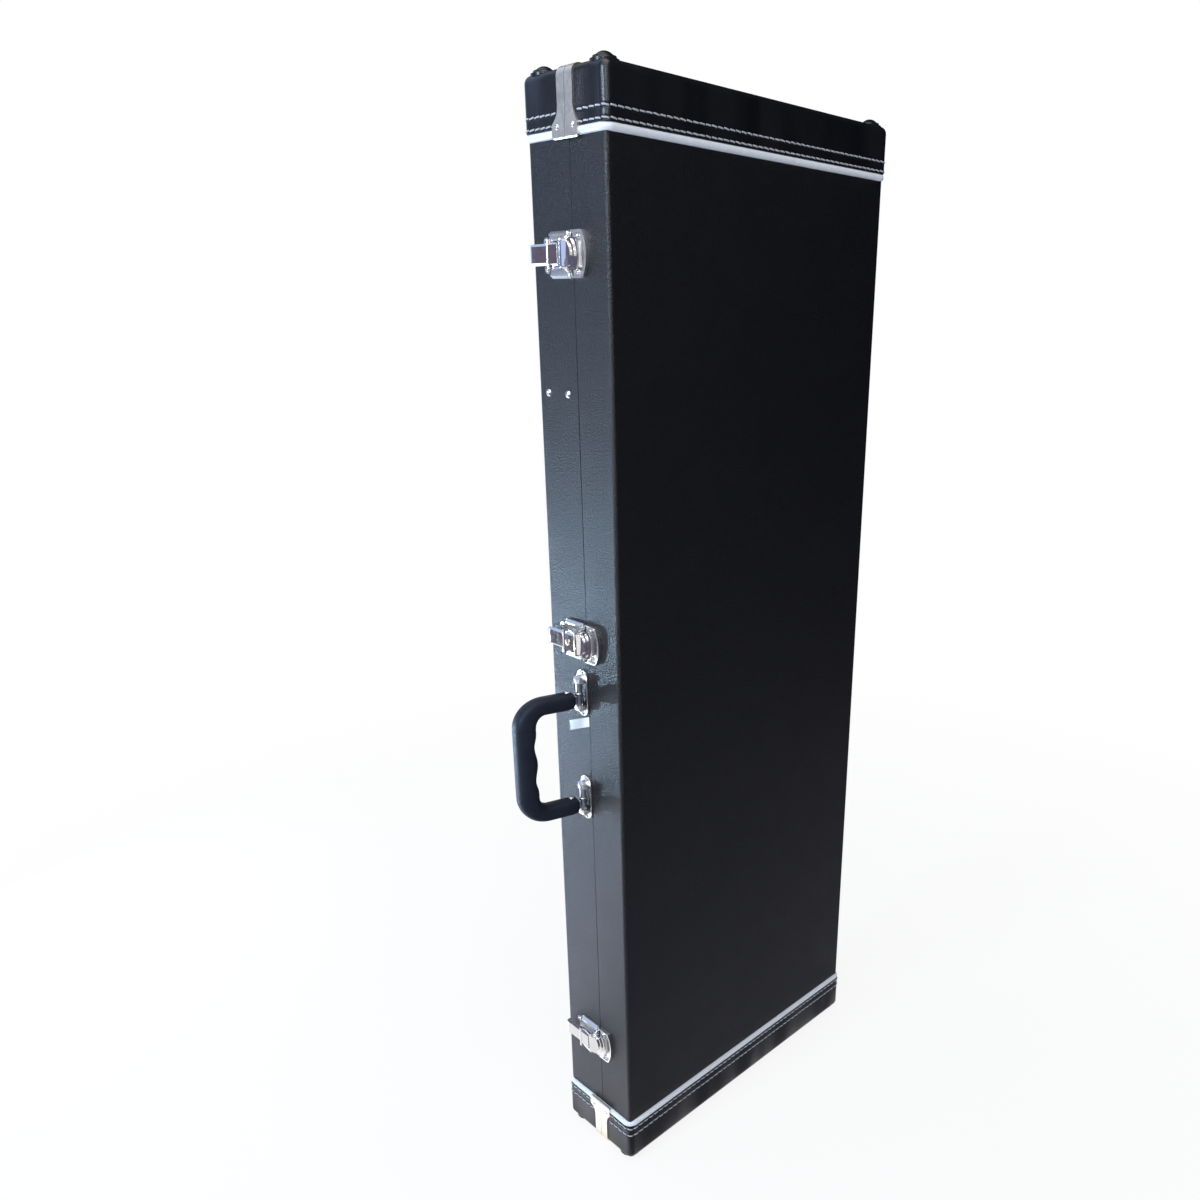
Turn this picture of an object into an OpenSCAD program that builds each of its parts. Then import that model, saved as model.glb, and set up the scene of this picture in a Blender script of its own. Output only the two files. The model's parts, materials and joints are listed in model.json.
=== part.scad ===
/* [Case] */
// Width of the case over its covering, from the latch side to the hinge side
case_w = 360; // [340:1:420]
// Height of the case between the outer faces of its end caps, without the feet
case_h = 1044; // [1000:1:1120]
// Depth of the back half, from the seam to the back
body_d = 55; // [50:1:70]
// Depth of the front half, from the seam to the front
lid_d = 45; // [40:1:60]
// Gap between the two halves at the seam
seam_gap = 0.4; // [0.3:0.1:1]
// Rounding of the long outer edges
edge_r = 4; // [4:0.5:7]
// Rounding of the edges at the two ends, under the caps
end_edge_r = 5.5; // [4:0.5:7]

/* [Boards] */
// Thickness of the vinyl covering
cover_t = 0.8; // [0.6:0.1:1.2]
// Thickness of the plywood sides of the back half
wall_t = 7; // [6:0.5:9]
// Thickness of the front and back panels
panel_t = 4; // [3:0.5:6]
// Thickness of the alignment lip
lip_t = 3; // [2:0.5:4]
// How far the lip stands past the seam into the front half
lip_proud = 6; // [4:0.5:9]
// How far the lip reaches into the back half
lip_sunk = 7; // [5:0.5:10]
// Gap between the lip and the front half's sides
lip_gap = 0.6; // [0.4:0.1:1]

/* [End caps] */
// Height of each end cap up to its piping
cap_h = 43; // [34:1:60]
// Thickness of the cap over the long sides
cap_t = 2.3; // [1.8:0.1:3]
// Thickness of the cap over the end
cap_end_t = 2.4; // [1.8:0.1:3]
// Rounding of the cap's outer edges and corners
cap_edge_r = 7; // [6.5:0.5:8.5]
// Radius of the half-round piping
piping_r = 3.25; // [2.5:0.05:4]
// Radius of the piping's bend round the long edges
piping_bend = 7; // [7:0.5:9]

/* [Seam clips] */
// Width of one clip half along the cap
clip_w = 9.5; // [8:0.1:12]
// Width of one clip half at its flared foot
clip_foot_w = 15.7; // [13:0.1:18]
// Height above the clip's end at which its sides start to flare
clip_flare_h = 23.5; // [22:0.5:26]
// Radius of the flare
clip_flare_r = 16.5; // [15:0.5:18]
// How far the clip reaches past the piping
clip_past = 1.6; // [1:0.1:3]
// How far the clip folds over the end of the case
clip_fold = 13; // [9:0.5:20]
// Thickness of the clip
clip_t = 1.2; // [1:0.1:1.6]

/* [Feet] */
// Height of each foot
foot_h = 6; // [5:0.5:8]
// Radius of each foot's dome
foot_r = 9.2; // [8:0.2:10]
// Radius of the skirt round the dome
foot_skirt_r = 11.5; // [10.5:0.1:12.5]
// Height of the skirt where it meets the dome
foot_skirt_h = 2.2; // [1.5:0.1:3]
// Radius of the flat that each foot stands on
foot_flat_r = 3; // [2:0.5:4]
// Distance from the cap's narrow side to the centre of a foot
foot_inset = 13; // [12.5:0.5:18]
// Distance from the cap's front or back to the centre of a foot
foot_inset_y = 15; // [13:0.5:18]
// Height of each foot on the hinge side, past the hinges
spine_foot_h = 9; // [9:0.5:13]

/* [Latches] */
// Distance from the bottom end to the middle of the lower latch
lower_latch_inset = 130; // [90:1:200]
// Height of the middle latch above the middle of the case
middle_latch_rise = 55; // [52:1:80]
// Distance from the top end to the middle of the upper latch
upper_latch_inset = 135; // [90:1:200]
// Half height of the latch's plates
latch_half = 18.2; // [17.5:0.1:20]
// Length of the latch's base on the back half
base_len = 29; // [26.5:0.5:30]
// Reach of the keeper on the front half, from the seam
keeper_len = 20.5; // [19.5:0.5:24]
// Reach of the finger tab from the seam
tab_reach = 48; // [44:0.5:48]
// Thickness of the latch's plates
latch_t = 1.4; // [1.2:0.1:1.6]
// Height of the lever's face above the covering
lever_top = 11; // [10.8:0.1:11.6]
// Radius of the lever's pivot pin
lever_pin_r = 1.5; // [1.3:0.1:1.7]
// Radius of the claw's pivot pin
claw_pin_r = 1.2; // [1:0.1:1.3]
// Radial clearance of the pins in their holes
pin_fit = 0.05; // [0.03:0.01:0.1]
// Radius of the lock cylinder in the middle lever
lock_r = 3.2; // [2.8:0.1:3.6]

/* [Handle] */
// Distance from the middle of the case down to the middle of the handle
handle_below = 50.5; // [48:0.5:80]
// Distance between the middles of the two brackets
handle_span = 109; // [96:1:112]
// Height of each bracket plate
bracket_h = 46; // [42:1:50]
// Width of each bracket plate
bracket_w = 15.4; // [14.6:0.2:16]
// Distance from the seam to the middle of the brackets
bracket_y = 8; // [7.8:0.1:9]
// Distance from the covering to the bracket's upright bar
bar_out = 5.3; // [5.2:0.1:6.5]
// Radius of the upright bar that the handle swings on
bar_r = 2.9; // [2.5:0.1:3.1]
// How far the handle hangs below the middle of its brackets
handle_drop = 5; // [2:0.5:5.5]
// Angle by which the handle is swung towards the back
handle_lean = 15; // [0:1:40]
// Reach of the grip from the covering to its outer side
grip_reach = 71; // [66:0.5:84]
// Thickness of the grip's outer bar, away from the case
grip_bar_t = 20.5; // [19:0.5:23]
// Width of the grip's outer bar, across the case
grip_bar_w = 21; // [19:0.5:23]
// Thickness of the grip's arms
grip_arm_t = 16.5; // [15.5:0.5:18]
// Outer radius of the grip's corners
grip_corner_r = 30; // [28:1:36]
// Depth of the finger waves on the grip's inner side
wave_depth = 2.6; // [1:0.1:3]
// Length of one finger wave
wave_pitch = 35; // [25:1:40]

/* [Hinges] */
// Height of each hinge
hinge_h = 60; // [50:1:80]
// Width of one hinge leaf
leaf_w = 21; // [16:0.5:26]
// Thickness of a hinge leaf
leaf_t = 1.2; // [1:0.1:1.6]
// Radius of the hinge knuckles
knuckle_r = 3.2; // [2.9:0.1:3.5]
// Radius of the hinge pins
hinge_pin_r = 1.6; // [1.3:0.1:1.9]
// Distance from each end of the case to the middle of the end hinges
hinge_inset = 152; // [120:1:200]

/* [Inside] */
// Thickness of the plush floor pad
floor_t = 4; // [3:0.5:6]
// Thickness of the foam past the two ends of the guitar
end_foam_t = 9; // [5:1:12]
// Thickness of the foam beside the guitar's lower bout
lower_foam_t = 12; // [7:1:20]
// Thickness of the foam beside the guitar's upper bout
upper_foam_t = 32; // [20:1:45]
// Length of the well for the guitar's body
well_len = 415; // [400:1:430]
// Half width of the neck channel
neck_half = 50; // [40:1:56]
// Half width of the space for the headstock
head_half = 95; // [80:1:110]
// Length of the space for the headstock
head_len = 205; // [180:1:230]
// Distance from the top end to the middle of the upper partition board
partition_down = 246; // [238:1:250]
// Length of the accessory box inside
box_len = 184; // [170:1:190]
// Distance from the accessory box's lower board to the neck cradle
cradle_rise = 60; // [30:1:70]
// Length of the neck cradle
cradle_len = 65; // [50:1:100]
// Radius of the hollow that the neck lies in
cradle_r = 34; // [30:1:38]
// Depth of the hollow that the neck lies in
cradle_depth = 30; // [20:1:31]
// Thickness of the partition boards
partition_t = 6; // [5:0.5:8]
// Thickness of the accessory lid
box_lid_t = 3.5; // [3:0.1:4]
// Thickness of the pad on the front panel
lid_pad_t = 10; // [6:0.5:14]
// Clearance between loose-fitting inner pieces
fit_gap = 0.3; // [0.2:0.05:0.5]

/* [Hidden] */
$fn = 48;

// The case stands on its bottom end: X runs from the latches to the hinges,
// Y from the front to the back, Z up from the surface under the feet
side_x = case_w / 2;
back_y = (body_d + lid_d) / 2;
front_y = -back_y;
seam_y = back_y - body_d;
low_z = foot_h;
high_z = foot_h + case_h;
box_low = low_z + cap_end_t;
box_high = high_z - cap_end_t;
far = 2 * case_h;

// Inner faces of the boards, with the front half's sides thinner by the lip's gap
in_x = side_x - cover_t - wall_t;
in_low = box_low + cover_t + wall_t;
in_high = box_high - cover_t - wall_t;
lid_wall_t = wall_t - lip_gap;
lid_in_x = side_x - cover_t - lid_wall_t;
lid_in_low = box_low + cover_t + lid_wall_t;
lid_in_high = box_high - cover_t - lid_wall_t;
body_in_y = back_y - cover_t - panel_t;
lid_in_y = front_y + cover_t + panel_t;
lip_front_y = seam_y - lip_proud;
lip_back_y = seam_y + lip_sunk;
pad_top_y = lip_back_y + fit_gap;
floor_y = body_in_y - floor_t;

middle_z = (low_z + high_z) / 2;
latch_z = [low_z + lower_latch_inset, middle_z + middle_latch_rise, high_z - upper_latch_inset];
handle_z = middle_z - handle_below;
bracket_z = [handle_z - handle_span / 2, handle_z + handle_span / 2];
hinge_z = [low_z + hinge_inset, middle_z, high_z - hinge_inset];
partition_z = high_z - partition_down;
// The hinge axis stands just past the clips' feet, so that they clear as the lid turns
hinge_out = piping_r + clip_t + 0.35;

// Helpers for shapes that repeat

module rounded_rect(x0, x1, y0, y1, r) {
    translate([x0 + r, y0]) square([x1 - x0 - 2 * r, y1 - y0]);
    translate([x0, y0 + r]) square([x1 - x0, y1 - y0 - 2 * r]);
    for (x = [x0 + r, x1 - r], y = [y0 + r, y1 - r])
        translate([x, y]) circle(r);
}

// The whole case as one block, grown by "side" over its long faces and by
// "end" over its two ends, with upright edges "r" and end edges "rim"
module case_block(side, end, r, rim) {
    x = side_x + side;
    y = back_y + side;
    z0 = box_low - end;
    z1 = box_high + end;
    intersection() {
        translate([0, 0, z0]) linear_extrude(z1 - z0) rounded_rect(-x, x, -y, y, r);
        rotate([90, 0, 0]) translate([0, 0, -y]) linear_extrude(2 * y)
            rounded_rect(-x, x, z0, z1, rim);
        rotate([90, 0, 90]) translate([0, 0, -x]) linear_extrude(2 * x)
            rounded_rect(-y, y, z0, z1, rim);
    }
}

module covering_block() { case_block(0, 0, edge_r, end_edge_r); }
module wood_block() { case_block(-cover_t, -cover_t, edge_r - cover_t, end_edge_r - cover_t); }

// The two caps' outer shape: a block with rounded edges and ball corners
module cap_block() {
    r = cap_edge_r;
    x = side_x + cap_t;
    y = back_y + cap_t;
    slab(-x + r, x - r, -y + r, y - r, low_z, high_z);
    slab(-x, x, -y + r, y - r, low_z + r, high_z - r);
    slab(-x + r, x - r, -y, y, low_z + r, high_z - r);
    for (a = [-1, 1], b = [-1, 1])
        translate([a * (x - r), b * (y - r), low_z + r])
            cylinder(h = high_z - low_z - 2 * r, r = r);
    for (z = [low_z + r, high_z - r], a = [-1, 1]) {
        translate([a * (x - r), r - y, z]) rotate([-90, 0, 0]) cylinder(h = 2 * (y - r), r = r);
        translate([r - x, a * (y - r), z]) rotate([0, 90, 0]) cylinder(h = 2 * (x - r), r = r);
        for (b = [-1, 1]) translate([a * (x - r), b * (y - r), z]) sphere(r);
    }
}

// The same shape grown by "t", true only away from its corners
module cap_strip_block(t) {
    case_block(cap_t + t, cap_end_t + t, cap_edge_r + t, cap_edge_r + t);
}

module slab(x0, x1, y0, y1, z0, z1) {
    translate([x0, y0, z0]) cube([x1 - x0, y1 - y0, z1 - z0]);
}

// Everything on one side of the seam: 1 for the back half, -1 for the front half
module half_space(half) {
    y = seam_y + half * seam_gap / 2;
    slab(-far, far, half > 0 ? y : -far, half > 0 ? far : y, -far, far);
}

// Local frame on the latch side: local X is case +Y, local Z points out
module on_latch_side(y, z) {
    translate([-side_x, y, z]) rotate([-90, 0, 90]) children();
}

// A bar along local Y with the given profile in local X and Z
module along(width) {
    rotate([90, 0, 0]) translate([0, 0, -width / 2]) linear_extrude(width) children();
}

module dome_rivet(r, h) {
    sphere_r = (r * r + h * h) / (2 * h);
    intersection() {
        translate([0, 0, h - sphere_r]) sphere(sphere_r);
        cylinder(h = h, r = r);
    }
}

// Boards, panels, covering and lip

module side_boards(half, inner, panel_y) {
    intersection() {
        wood_block();
        for (s = [-1, 1])
            slab(min(s * inner, s * far), max(s * inner, s * far),
                min(seam_y + half * seam_gap / 2, panel_y),
                max(seam_y + half * seam_gap / 2, panel_y), -far, far);
    }
}

module end_boards(half, inner, inner_low, inner_high, panel_y) {
    y0 = min(seam_y + half * seam_gap / 2, panel_y);
    y1 = max(seam_y + half * seam_gap / 2, panel_y);
    intersection() {
        wood_block();
        union() {
            slab(-inner, inner, y0, y1, -far, inner_low);
            slab(-inner, inner, y0, y1, inner_high, far);
        }
    }
}

module covering(half) {
    difference() {
        intersection() {
            covering_block();
            half_space(half);
        }
        wood_block();
    }
}

module body_side_boards() { color("burlywood") side_boards(1, in_x, body_in_y); }
module body_end_boards() {
    color("tan") end_boards(1, in_x, in_low, in_high, body_in_y);
}
module lid_side_boards() { color("burlywood") side_boards(-1, lid_in_x, lid_in_y); }
module lid_end_boards() {
    color("tan") end_boards(-1, lid_in_x, lid_in_low, lid_in_high, lid_in_y);
}

module back_panel() {
    color("wheat") intersection() {
        wood_block();
        slab(-far, far, body_in_y, far, -far, far);
    }
}

module lid_panel() {
    color("wheat") intersection() {
        wood_block();
        slab(-far, far, -far, lid_in_y, -far, far);
    }
}

module body_covering() { color([0.09, 0.1, 0.14]) covering(1); }
module lid_covering() { color([0.07, 0.07, 0.09]) covering(-1); }

module body_lip() {
    color("dimgray") {
        for (s = [-1, 1])
            slab(min(s * in_x, s * (in_x - lip_t)), max(s * in_x, s * (in_x - lip_t)),
                lip_front_y, lip_back_y, in_low, in_high);
        for (z = [in_low, in_high - lip_t])
            slab(-in_x + lip_t, in_x - lip_t, lip_front_y, lip_back_y, z, z + lip_t);
    }
}

// Padding with the guitar-shaped well

// Heights of the well's parts inside the case
lower_bout_r = in_x - lower_foam_t;
upper_bout_r = in_x - upper_foam_t;
well_low_z = in_low + end_foam_t;
bout_z = well_low_z + lower_bout_r;
shoulder_z = well_low_z + well_len;
upper_bout_z = shoulder_z - upper_bout_r;
head_top_z = in_high - end_foam_t;
head_low_z = head_top_z - head_len;
split_z = shoulder_z + neck_half / 2;
head_slope = head_half - neck_half;
box_top_z = partition_z - partition_t / 2;
box_bottom_z = box_top_z - box_len;
box_wall_x = -neck_half - partition_t - fit_gap;

module well_outline() {
    translate([0, bout_z]) circle(lower_bout_r, $fn = 96);
    translate([0, upper_bout_z]) circle(upper_bout_r, $fn = 96);
    translate([-neck_half, upper_bout_z]) square([2 * neck_half, head_top_z - upper_bout_z]);
    translate([-head_half, head_low_z + head_slope])
        square([2 * head_half, head_len - head_slope]);
    translate([0, head_low_z]) polygon([
        [-head_half, head_slope], [head_half, head_slope], [neck_half, 0], [-neck_half, 0]]);
}

module padding(z0, z1) {
    rotate([-90, 0, 0]) translate([0, 0, pad_top_y]) linear_extrude(floor_y - pad_top_y)
        mirror([0, 1]) difference() {
            translate([-in_x, z0]) square([2 * in_x, z1 - z0]);
            well_outline();
            translate([-in_x - 1, box_bottom_z - partition_t - fit_gap])
                square([in_x + 1 - neck_half, box_len + 2 * partition_t + 2 * fit_gap]);
        }
}

module floor_pad() {
    color("maroon") slab(-in_x, in_x, floor_y, body_in_y, in_low, in_high);
}
module lower_padding() { color("firebrick") padding(in_low, split_z); }
module upper_padding() { color("firebrick") padding(split_z, in_high); }

module neck_cradle() {
    cradle_z = box_bottom_z + cradle_rise;
    color("indianred") difference() {
        slab(-neck_half + fit_gap, neck_half - fit_gap, pad_top_y, floor_y,
            cradle_z, cradle_z + cradle_len);
        translate([0, pad_top_y + cradle_depth - cradle_r, cradle_z - cradle_len])
            cylinder(h = 3 * cradle_len, r = cradle_r);
    }
}

// Accessory box beside the neck: boards, batten, lid and pull tab

box_rest_y = pad_top_y + box_lid_t + fit_gap;
box_hinge_x = -in_x + lip_t + 0.5;
batten_w = 7;

module accessory_partition() {
    color("tan") {
        slab(box_wall_x, box_wall_x + partition_t, box_rest_y, floor_y,
            box_bottom_z - partition_t, box_top_z + partition_t);
        slab(-in_x, box_wall_x, box_rest_y, floor_y, box_top_z, box_top_z + partition_t);
        slab(-in_x, box_wall_x, box_rest_y, floor_y, box_bottom_z - partition_t, box_bottom_z);
    }
}

module accessory_batten() {
    color("peru") slab(-in_x, box_hinge_x + batten_w, box_rest_y, box_rest_y + batten_w,
        box_bottom_z, box_top_z);
}

module accessory_lid() {
    color("darkred") slab(box_hinge_x, box_wall_x + partition_t - 1, pad_top_y,
        pad_top_y + box_lid_t, box_bottom_z - partition_t + 1, box_top_z + partition_t - 1);
}

module accessory_pull_tab() {
    tab_t = 1.4;
    tab_r = 9;
    tab_x = box_wall_x - 8;
    tab_z = (box_top_z + box_bottom_z) / 2;
    color("black") translate([tab_x, pad_top_y, tab_z]) rotate([0, 90, 0])
        linear_extrude(tab_t) {
            translate([-tab_r, -6]) square([2 * tab_r, 6]);
            translate([0, -6]) intersection() {
                circle(tab_r);
                translate([-tab_r, -tab_r]) square([2 * tab_r, tab_r]);
            }
        }
}

module partition_screws() {
    head_h = 2.2;
    head_r = 3.4;
    spacing = 27.3;
    color("silver")
        for (y = [back_y - 14 - spacing, back_y - 14])
            translate([-side_x, y, partition_z]) rotate([0, -90, 0])
                dome_rivet(head_r, head_h);
}

// End caps and piping

module end_cap(half, top) {
    z0 = top ? high_z - cap_h : -far;
    z1 = top ? far : low_z + cap_h;
    difference() {
        intersection() {
            cap_block();
            half_space(half);
            slab(-far, far, -far, far, z0, z1);
        }
        covering_block();
    }
}

module body_top_cap() { color([0.06, 0.07, 0.1]) end_cap(1, true); }
module body_bottom_cap() { color([0.06, 0.07, 0.1]) end_cap(1, false); }
module lid_top_cap() { color([0.06, 0.07, 0.1]) end_cap(-1, true); }
module lid_bottom_cap() { color([0.06, 0.07, 0.1]) end_cap(-1, false); }

// Half-round bead round three sides of one half, with its flat on the covering
module piping(half, z) {
    end_y = seam_y + half * seam_gap / 2;
    face_y = half * back_y;
    corner_y = face_y - half * piping_bend;
    corner_x = side_x - piping_bend;
    color("white") difference() {
        translate([0, 0, z]) {
            for (s = [-1, 1]) {
                translate([s * side_x, min(end_y, corner_y), 0]) rotate([-90, 0, 0])
                    cylinder(h = abs(corner_y - end_y), r = piping_r);
                intersection() {
                    translate([s * corner_x, corner_y, 0])
                        rotate_extrude() translate([piping_bend, 0]) circle(piping_r);
                    slab(min(s * corner_x, s * far), max(s * corner_x, s * far),
                        min(corner_y, half * far), max(corner_y, half * far),
                        -2 * piping_r, 2 * piping_r);
                }
            }
            translate([-corner_x, face_y, 0]) rotate([0, 90, 0])
                cylinder(h = 2 * corner_x, r = piping_r);
        }
        covering_block();
    }
}

top_piping_z = high_z - cap_h - piping_r;
bottom_piping_z = low_z + cap_h + piping_r;
module body_top_piping() { piping(1, top_piping_z); }
module body_bottom_piping() { piping(1, bottom_piping_z); }
module lid_top_piping() { piping(-1, top_piping_z); }
module lid_bottom_piping() { piping(-1, bottom_piping_z); }

// Seam clips: a strip down each half of the cap, flared at its foot over the
// piping and folded over the end of the case

clip_out = cap_t + clip_t;
clip_foot_out = piping_r + clip_t;
clip_len = cap_h + 2 * piping_r + clip_past;
clip_rivet_r = 2.2;
clip_rivet_rise = 8.9;
clip_rivet_y = 10;
// Where the clip's face starts and stops falling from the piping to the cap
clip_step_h = clip_rivet_rise + clip_rivet_r + 0.3;
clip_step_end = clip_step_h + 6;

// Outline of the strip, from the seam outwards and up from its foot
module clip_outline() {
    translate([0, clip_flare_h]) square([clip_w, clip_len - clip_flare_h]);
    difference() {
        square([clip_foot_w, clip_flare_h]);
        translate([clip_w + clip_flare_r, clip_flare_h]) circle(clip_flare_r, $fn = 96);
        translate([clip_foot_w - 2, 0]) difference() {
            translate([0, -1]) square([3, 3]);
            translate([0, 2]) circle(2);
        }
    }
}

module clip(half, sx, top) {
    face = sx * side_x;
    edge = top ? high_z : low_z;
    up = top ? 1 : -1;
    foot_z = edge - up * clip_len;
    start_y = seam_y + half * seam_gap / 2;
    bend_z = edge - up * (cap_edge_r + 2);
    end_z = edge + up * 3 * clip_t;
    difference() {
        union() {
            translate([face, start_y, foot_z]) mirror([sx < 0 ? 1 : 0, 0, 0])
                mirror([0, half < 0 ? 1 : 0, 0]) mirror([0, 0, top ? 0 : 1])
                rotate([90, 0, 90]) intersection() {
                    linear_extrude(clip_foot_out) clip_outline();
                    rotate([0, -90, 0]) translate([0, 0, -far]) linear_extrude(far) polygon([
                        [0, 0], [clip_foot_out - 1, 0], [clip_foot_out, 1],
                        [clip_foot_out, clip_step_h], [clip_out, clip_step_end],
                        [clip_out, clip_len - cap_edge_r - 1], [0, clip_len - cap_edge_r - 1]]);
                }
            // The part that bends round the cap's rim and folds over its end
            intersection() {
                cap_strip_block(clip_t);
                slab(min(face + sx * far, face - sx * clip_fold),
                    max(face + sx * far, face - sx * clip_fold),
                    min(start_y, start_y + half * clip_w), max(start_y, start_y + half * clip_w),
                    min(bend_z, end_z), max(bend_z, end_z));
            }
        }
        cap_strip_block(0);
        covering_block();
        translate([face, -far, top ? top_piping_z : bottom_piping_z]) rotate([-90, 0, 0])
            cylinder(h = 2 * far, r = piping_r);
    }
}

module clips(half) {
    for (sx = [-1, 1], top = [false, true]) clip(half, sx, top);
}

module body_clips() { color("silver") clips(1); }
module lid_clips() { color("silver") clips(-1); }

// Feet: four domes on the ends of each half and two on the hinge side

// A dome with a hollowed skirt round it
module foot_dome(h) {
    below = (foot_r * foot_r - h * h - foot_flat_r * foot_flat_r) / (2 * h);
    ball_r = sqrt(foot_r * foot_r + below * below);
    lip = 0.4;
    rotate_extrude($fn = 64) intersection() {
        square([foot_skirt_r, h]);
        union() {
            translate([0, -below]) circle(ball_r, $fn = 128);
            difference() {
                square([foot_skirt_r, foot_skirt_h + lip]);
                translate([foot_skirt_r, foot_skirt_h + lip]) circle(foot_skirt_h);
            }
        }
    }
}

module end_feet(half) {
    color([0.03, 0.03, 0.04]) difference() {
        for (sx = [-1, 1], top = [false, true])
            translate([sx * (side_x + cap_t - foot_inset),
                half * (back_y + cap_t - foot_inset_y), top ? high_z : low_z])
                mirror([0, 0, top ? 0 : 1]) {
                    foot_dome(foot_h);
                    translate([0, 0, -4]) cylinder(h = 4, r = foot_skirt_r, $fn = 64);
                }
        cap_block();
    }
}

module body_end_feet() { end_feet(1); }
module lid_end_feet() { end_feet(-1); }

spine_foot_inset = clip_len + foot_r + 12;
module spine_feet(half) {
    color([0.03, 0.03, 0.04])
        for (z = [low_z + spine_foot_inset, high_z - spine_foot_inset])
            translate([side_x, half * (back_y - edge_r - foot_r - 3), z]) rotate([0, 90, 0])
                foot_dome(spine_foot_h);
}
module body_spine_feet() { spine_feet(1); }
module lid_spine_feet() { spine_feet(-1); }

// Latches. Each is drawn in its own frame at the seam: X towards the back,
// Y down along the case, Z out from the covering

// Pivot of the lever in the base, and of the claw in the lever
lever_x = 2.2;
lever_z = 4.2;
claw_x = 5.2;
claw_z = lever_top - 2.2;
ear_in = 11.6;
ear_out = 13;
cheek_in = 9.9;
cheek_out = 11.3;
rail_in = 14.6;
rivet_x = 33.5;
rivet_y = 10.5;
keeper_rivet_y = 13.5;
base_start = 0.6;
// Underside of the claw, and the middle and driver slot of the lock
claw_under = 4.8;
lock_x = 14.5;
lock_slot_w = 1.1;

module place_latch(i) { on_latch_side(seam_y, latch_z[i]) children(); }

module latch_base() {
    difference() {
        union() {
            linear_extrude(latch_t) {
                rounded_rect(base_start, base_len, -latch_half, latch_half, 3);
                translate([base_start, -rivet_y]) square([rivet_x - base_start, 2 * rivet_y]);
                for (s = [-1, 1]) translate([rivet_x, s * rivet_y]) circle(3.6);
            }
            // Rails along the two sides
            for (s = [-1, 1])
                rotate([90, 0, 90]) translate([0, 0, base_start + 1])
                    linear_extrude(base_len - base_start - 4) polygon([
                        [s * rail_in, 0], [s * rail_in, 4.6], [s * (rail_in + 1.6), 4.6],
                        [s * latch_half, latch_t], [s * latch_half, 0]]);
            // Ears that hold the lever's pin
            for (s = [-1, 1])
                translate([0, s * (ear_in + ear_out) / 2, 0]) along(ear_out - ear_in) {
                    translate([lever_x, lever_z]) circle(lever_pin_r + 1.4);
                    translate([base_start, 0]) square([lever_x - base_start + 7, lever_z]);
                }
        }
        // Cut off what would cross the seam, and bore the ears
        translate([-far, -far, -far]) cube([far + base_start, 2 * far, 2 * far]);
        translate([lever_x, 0, lever_z]) rotate([90, 0, 0])
            cylinder(h = far, r = lever_pin_r, center = true);
    }
}

module latch_bases() { color("silver") for (i = [0 : 2]) place_latch(i) latch_base(); }

module latch_base_pins() {
    color("gainsboro") for (i = [0 : 2]) place_latch(i)
        for (s = [0, 1]) mirror([0, s, 0])
            translate([lever_x, cheek_in, lever_z]) rotate([-90, 0, 0])
                cylinder(h = ear_out + 0.7 - cheek_in, r = lever_pin_r);
}

module latch_base_rivets() {
    color("white") for (i = [0 : 2]) place_latch(i)
        for (s = [-1, 1]) translate([rivet_x, s * rivet_y, latch_t]) dome_rivet(2.4, 1.6);
}

// Front outline of the keeper and the claw: a shallow bow with round corners
module bow(front, half_h, bow_r, corner) {
    intersection() {
        rounded_rect(-front, 2 * front, -half_h, half_h, corner);
        translate([bow_r - front, 0]) circle(bow_r, $fn = 96);
    }
}

keeper_rim = 1.4;
keeper_rim_h = 3.4;
keeper_bow_r = 34;
keeper_corner = 8;
keeper_start = 1.2;
rib_x = 9;
rib_r = 1.6;

module keeper() {
    difference() {
        linear_extrude(keeper_rim_h) bow(keeper_len, latch_half, keeper_bow_r, keeper_corner);
        translate([0, 0, latch_t]) linear_extrude(keeper_rim_h)
            bow(keeper_len - keeper_rim, latch_half - keeper_rim,
                keeper_bow_r - keeper_rim, keeper_corner - keeper_rim);
        translate([-keeper_start, -far, -far]) cube(2 * far);
    }
    // Rib that the claw comes down on
    translate([-rib_x, 0, 0]) along(2 * cheek_in) {
        translate([-rib_r, 0]) square([2 * rib_r, claw_under - 0.4 - rib_r]);
        translate([0, claw_under - 0.4 - rib_r]) circle(rib_r);
    }
}

module latch_keepers() { color("silver") for (i = [0 : 2]) place_latch(i) keeper(); }

module keeper_rivets() {
    color("white") for (i = [0 : 2]) place_latch(i)
        for (s = [-1, 1])
            translate([1 - rib_x, s * keeper_rivet_y, latch_t]) dome_rivet(2.2, 1.8);
}

// Lever: cheeks on the pivot pin, a cover with sloped sides and a finger tab
// that is turned down at its end

face_half = 7.3;
tab_half = 8.4;
tab_face = 6.4;
tab_end_r = 10.5;
cover_start = claw_x + 2.7;
cover_end = 20;

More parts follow.
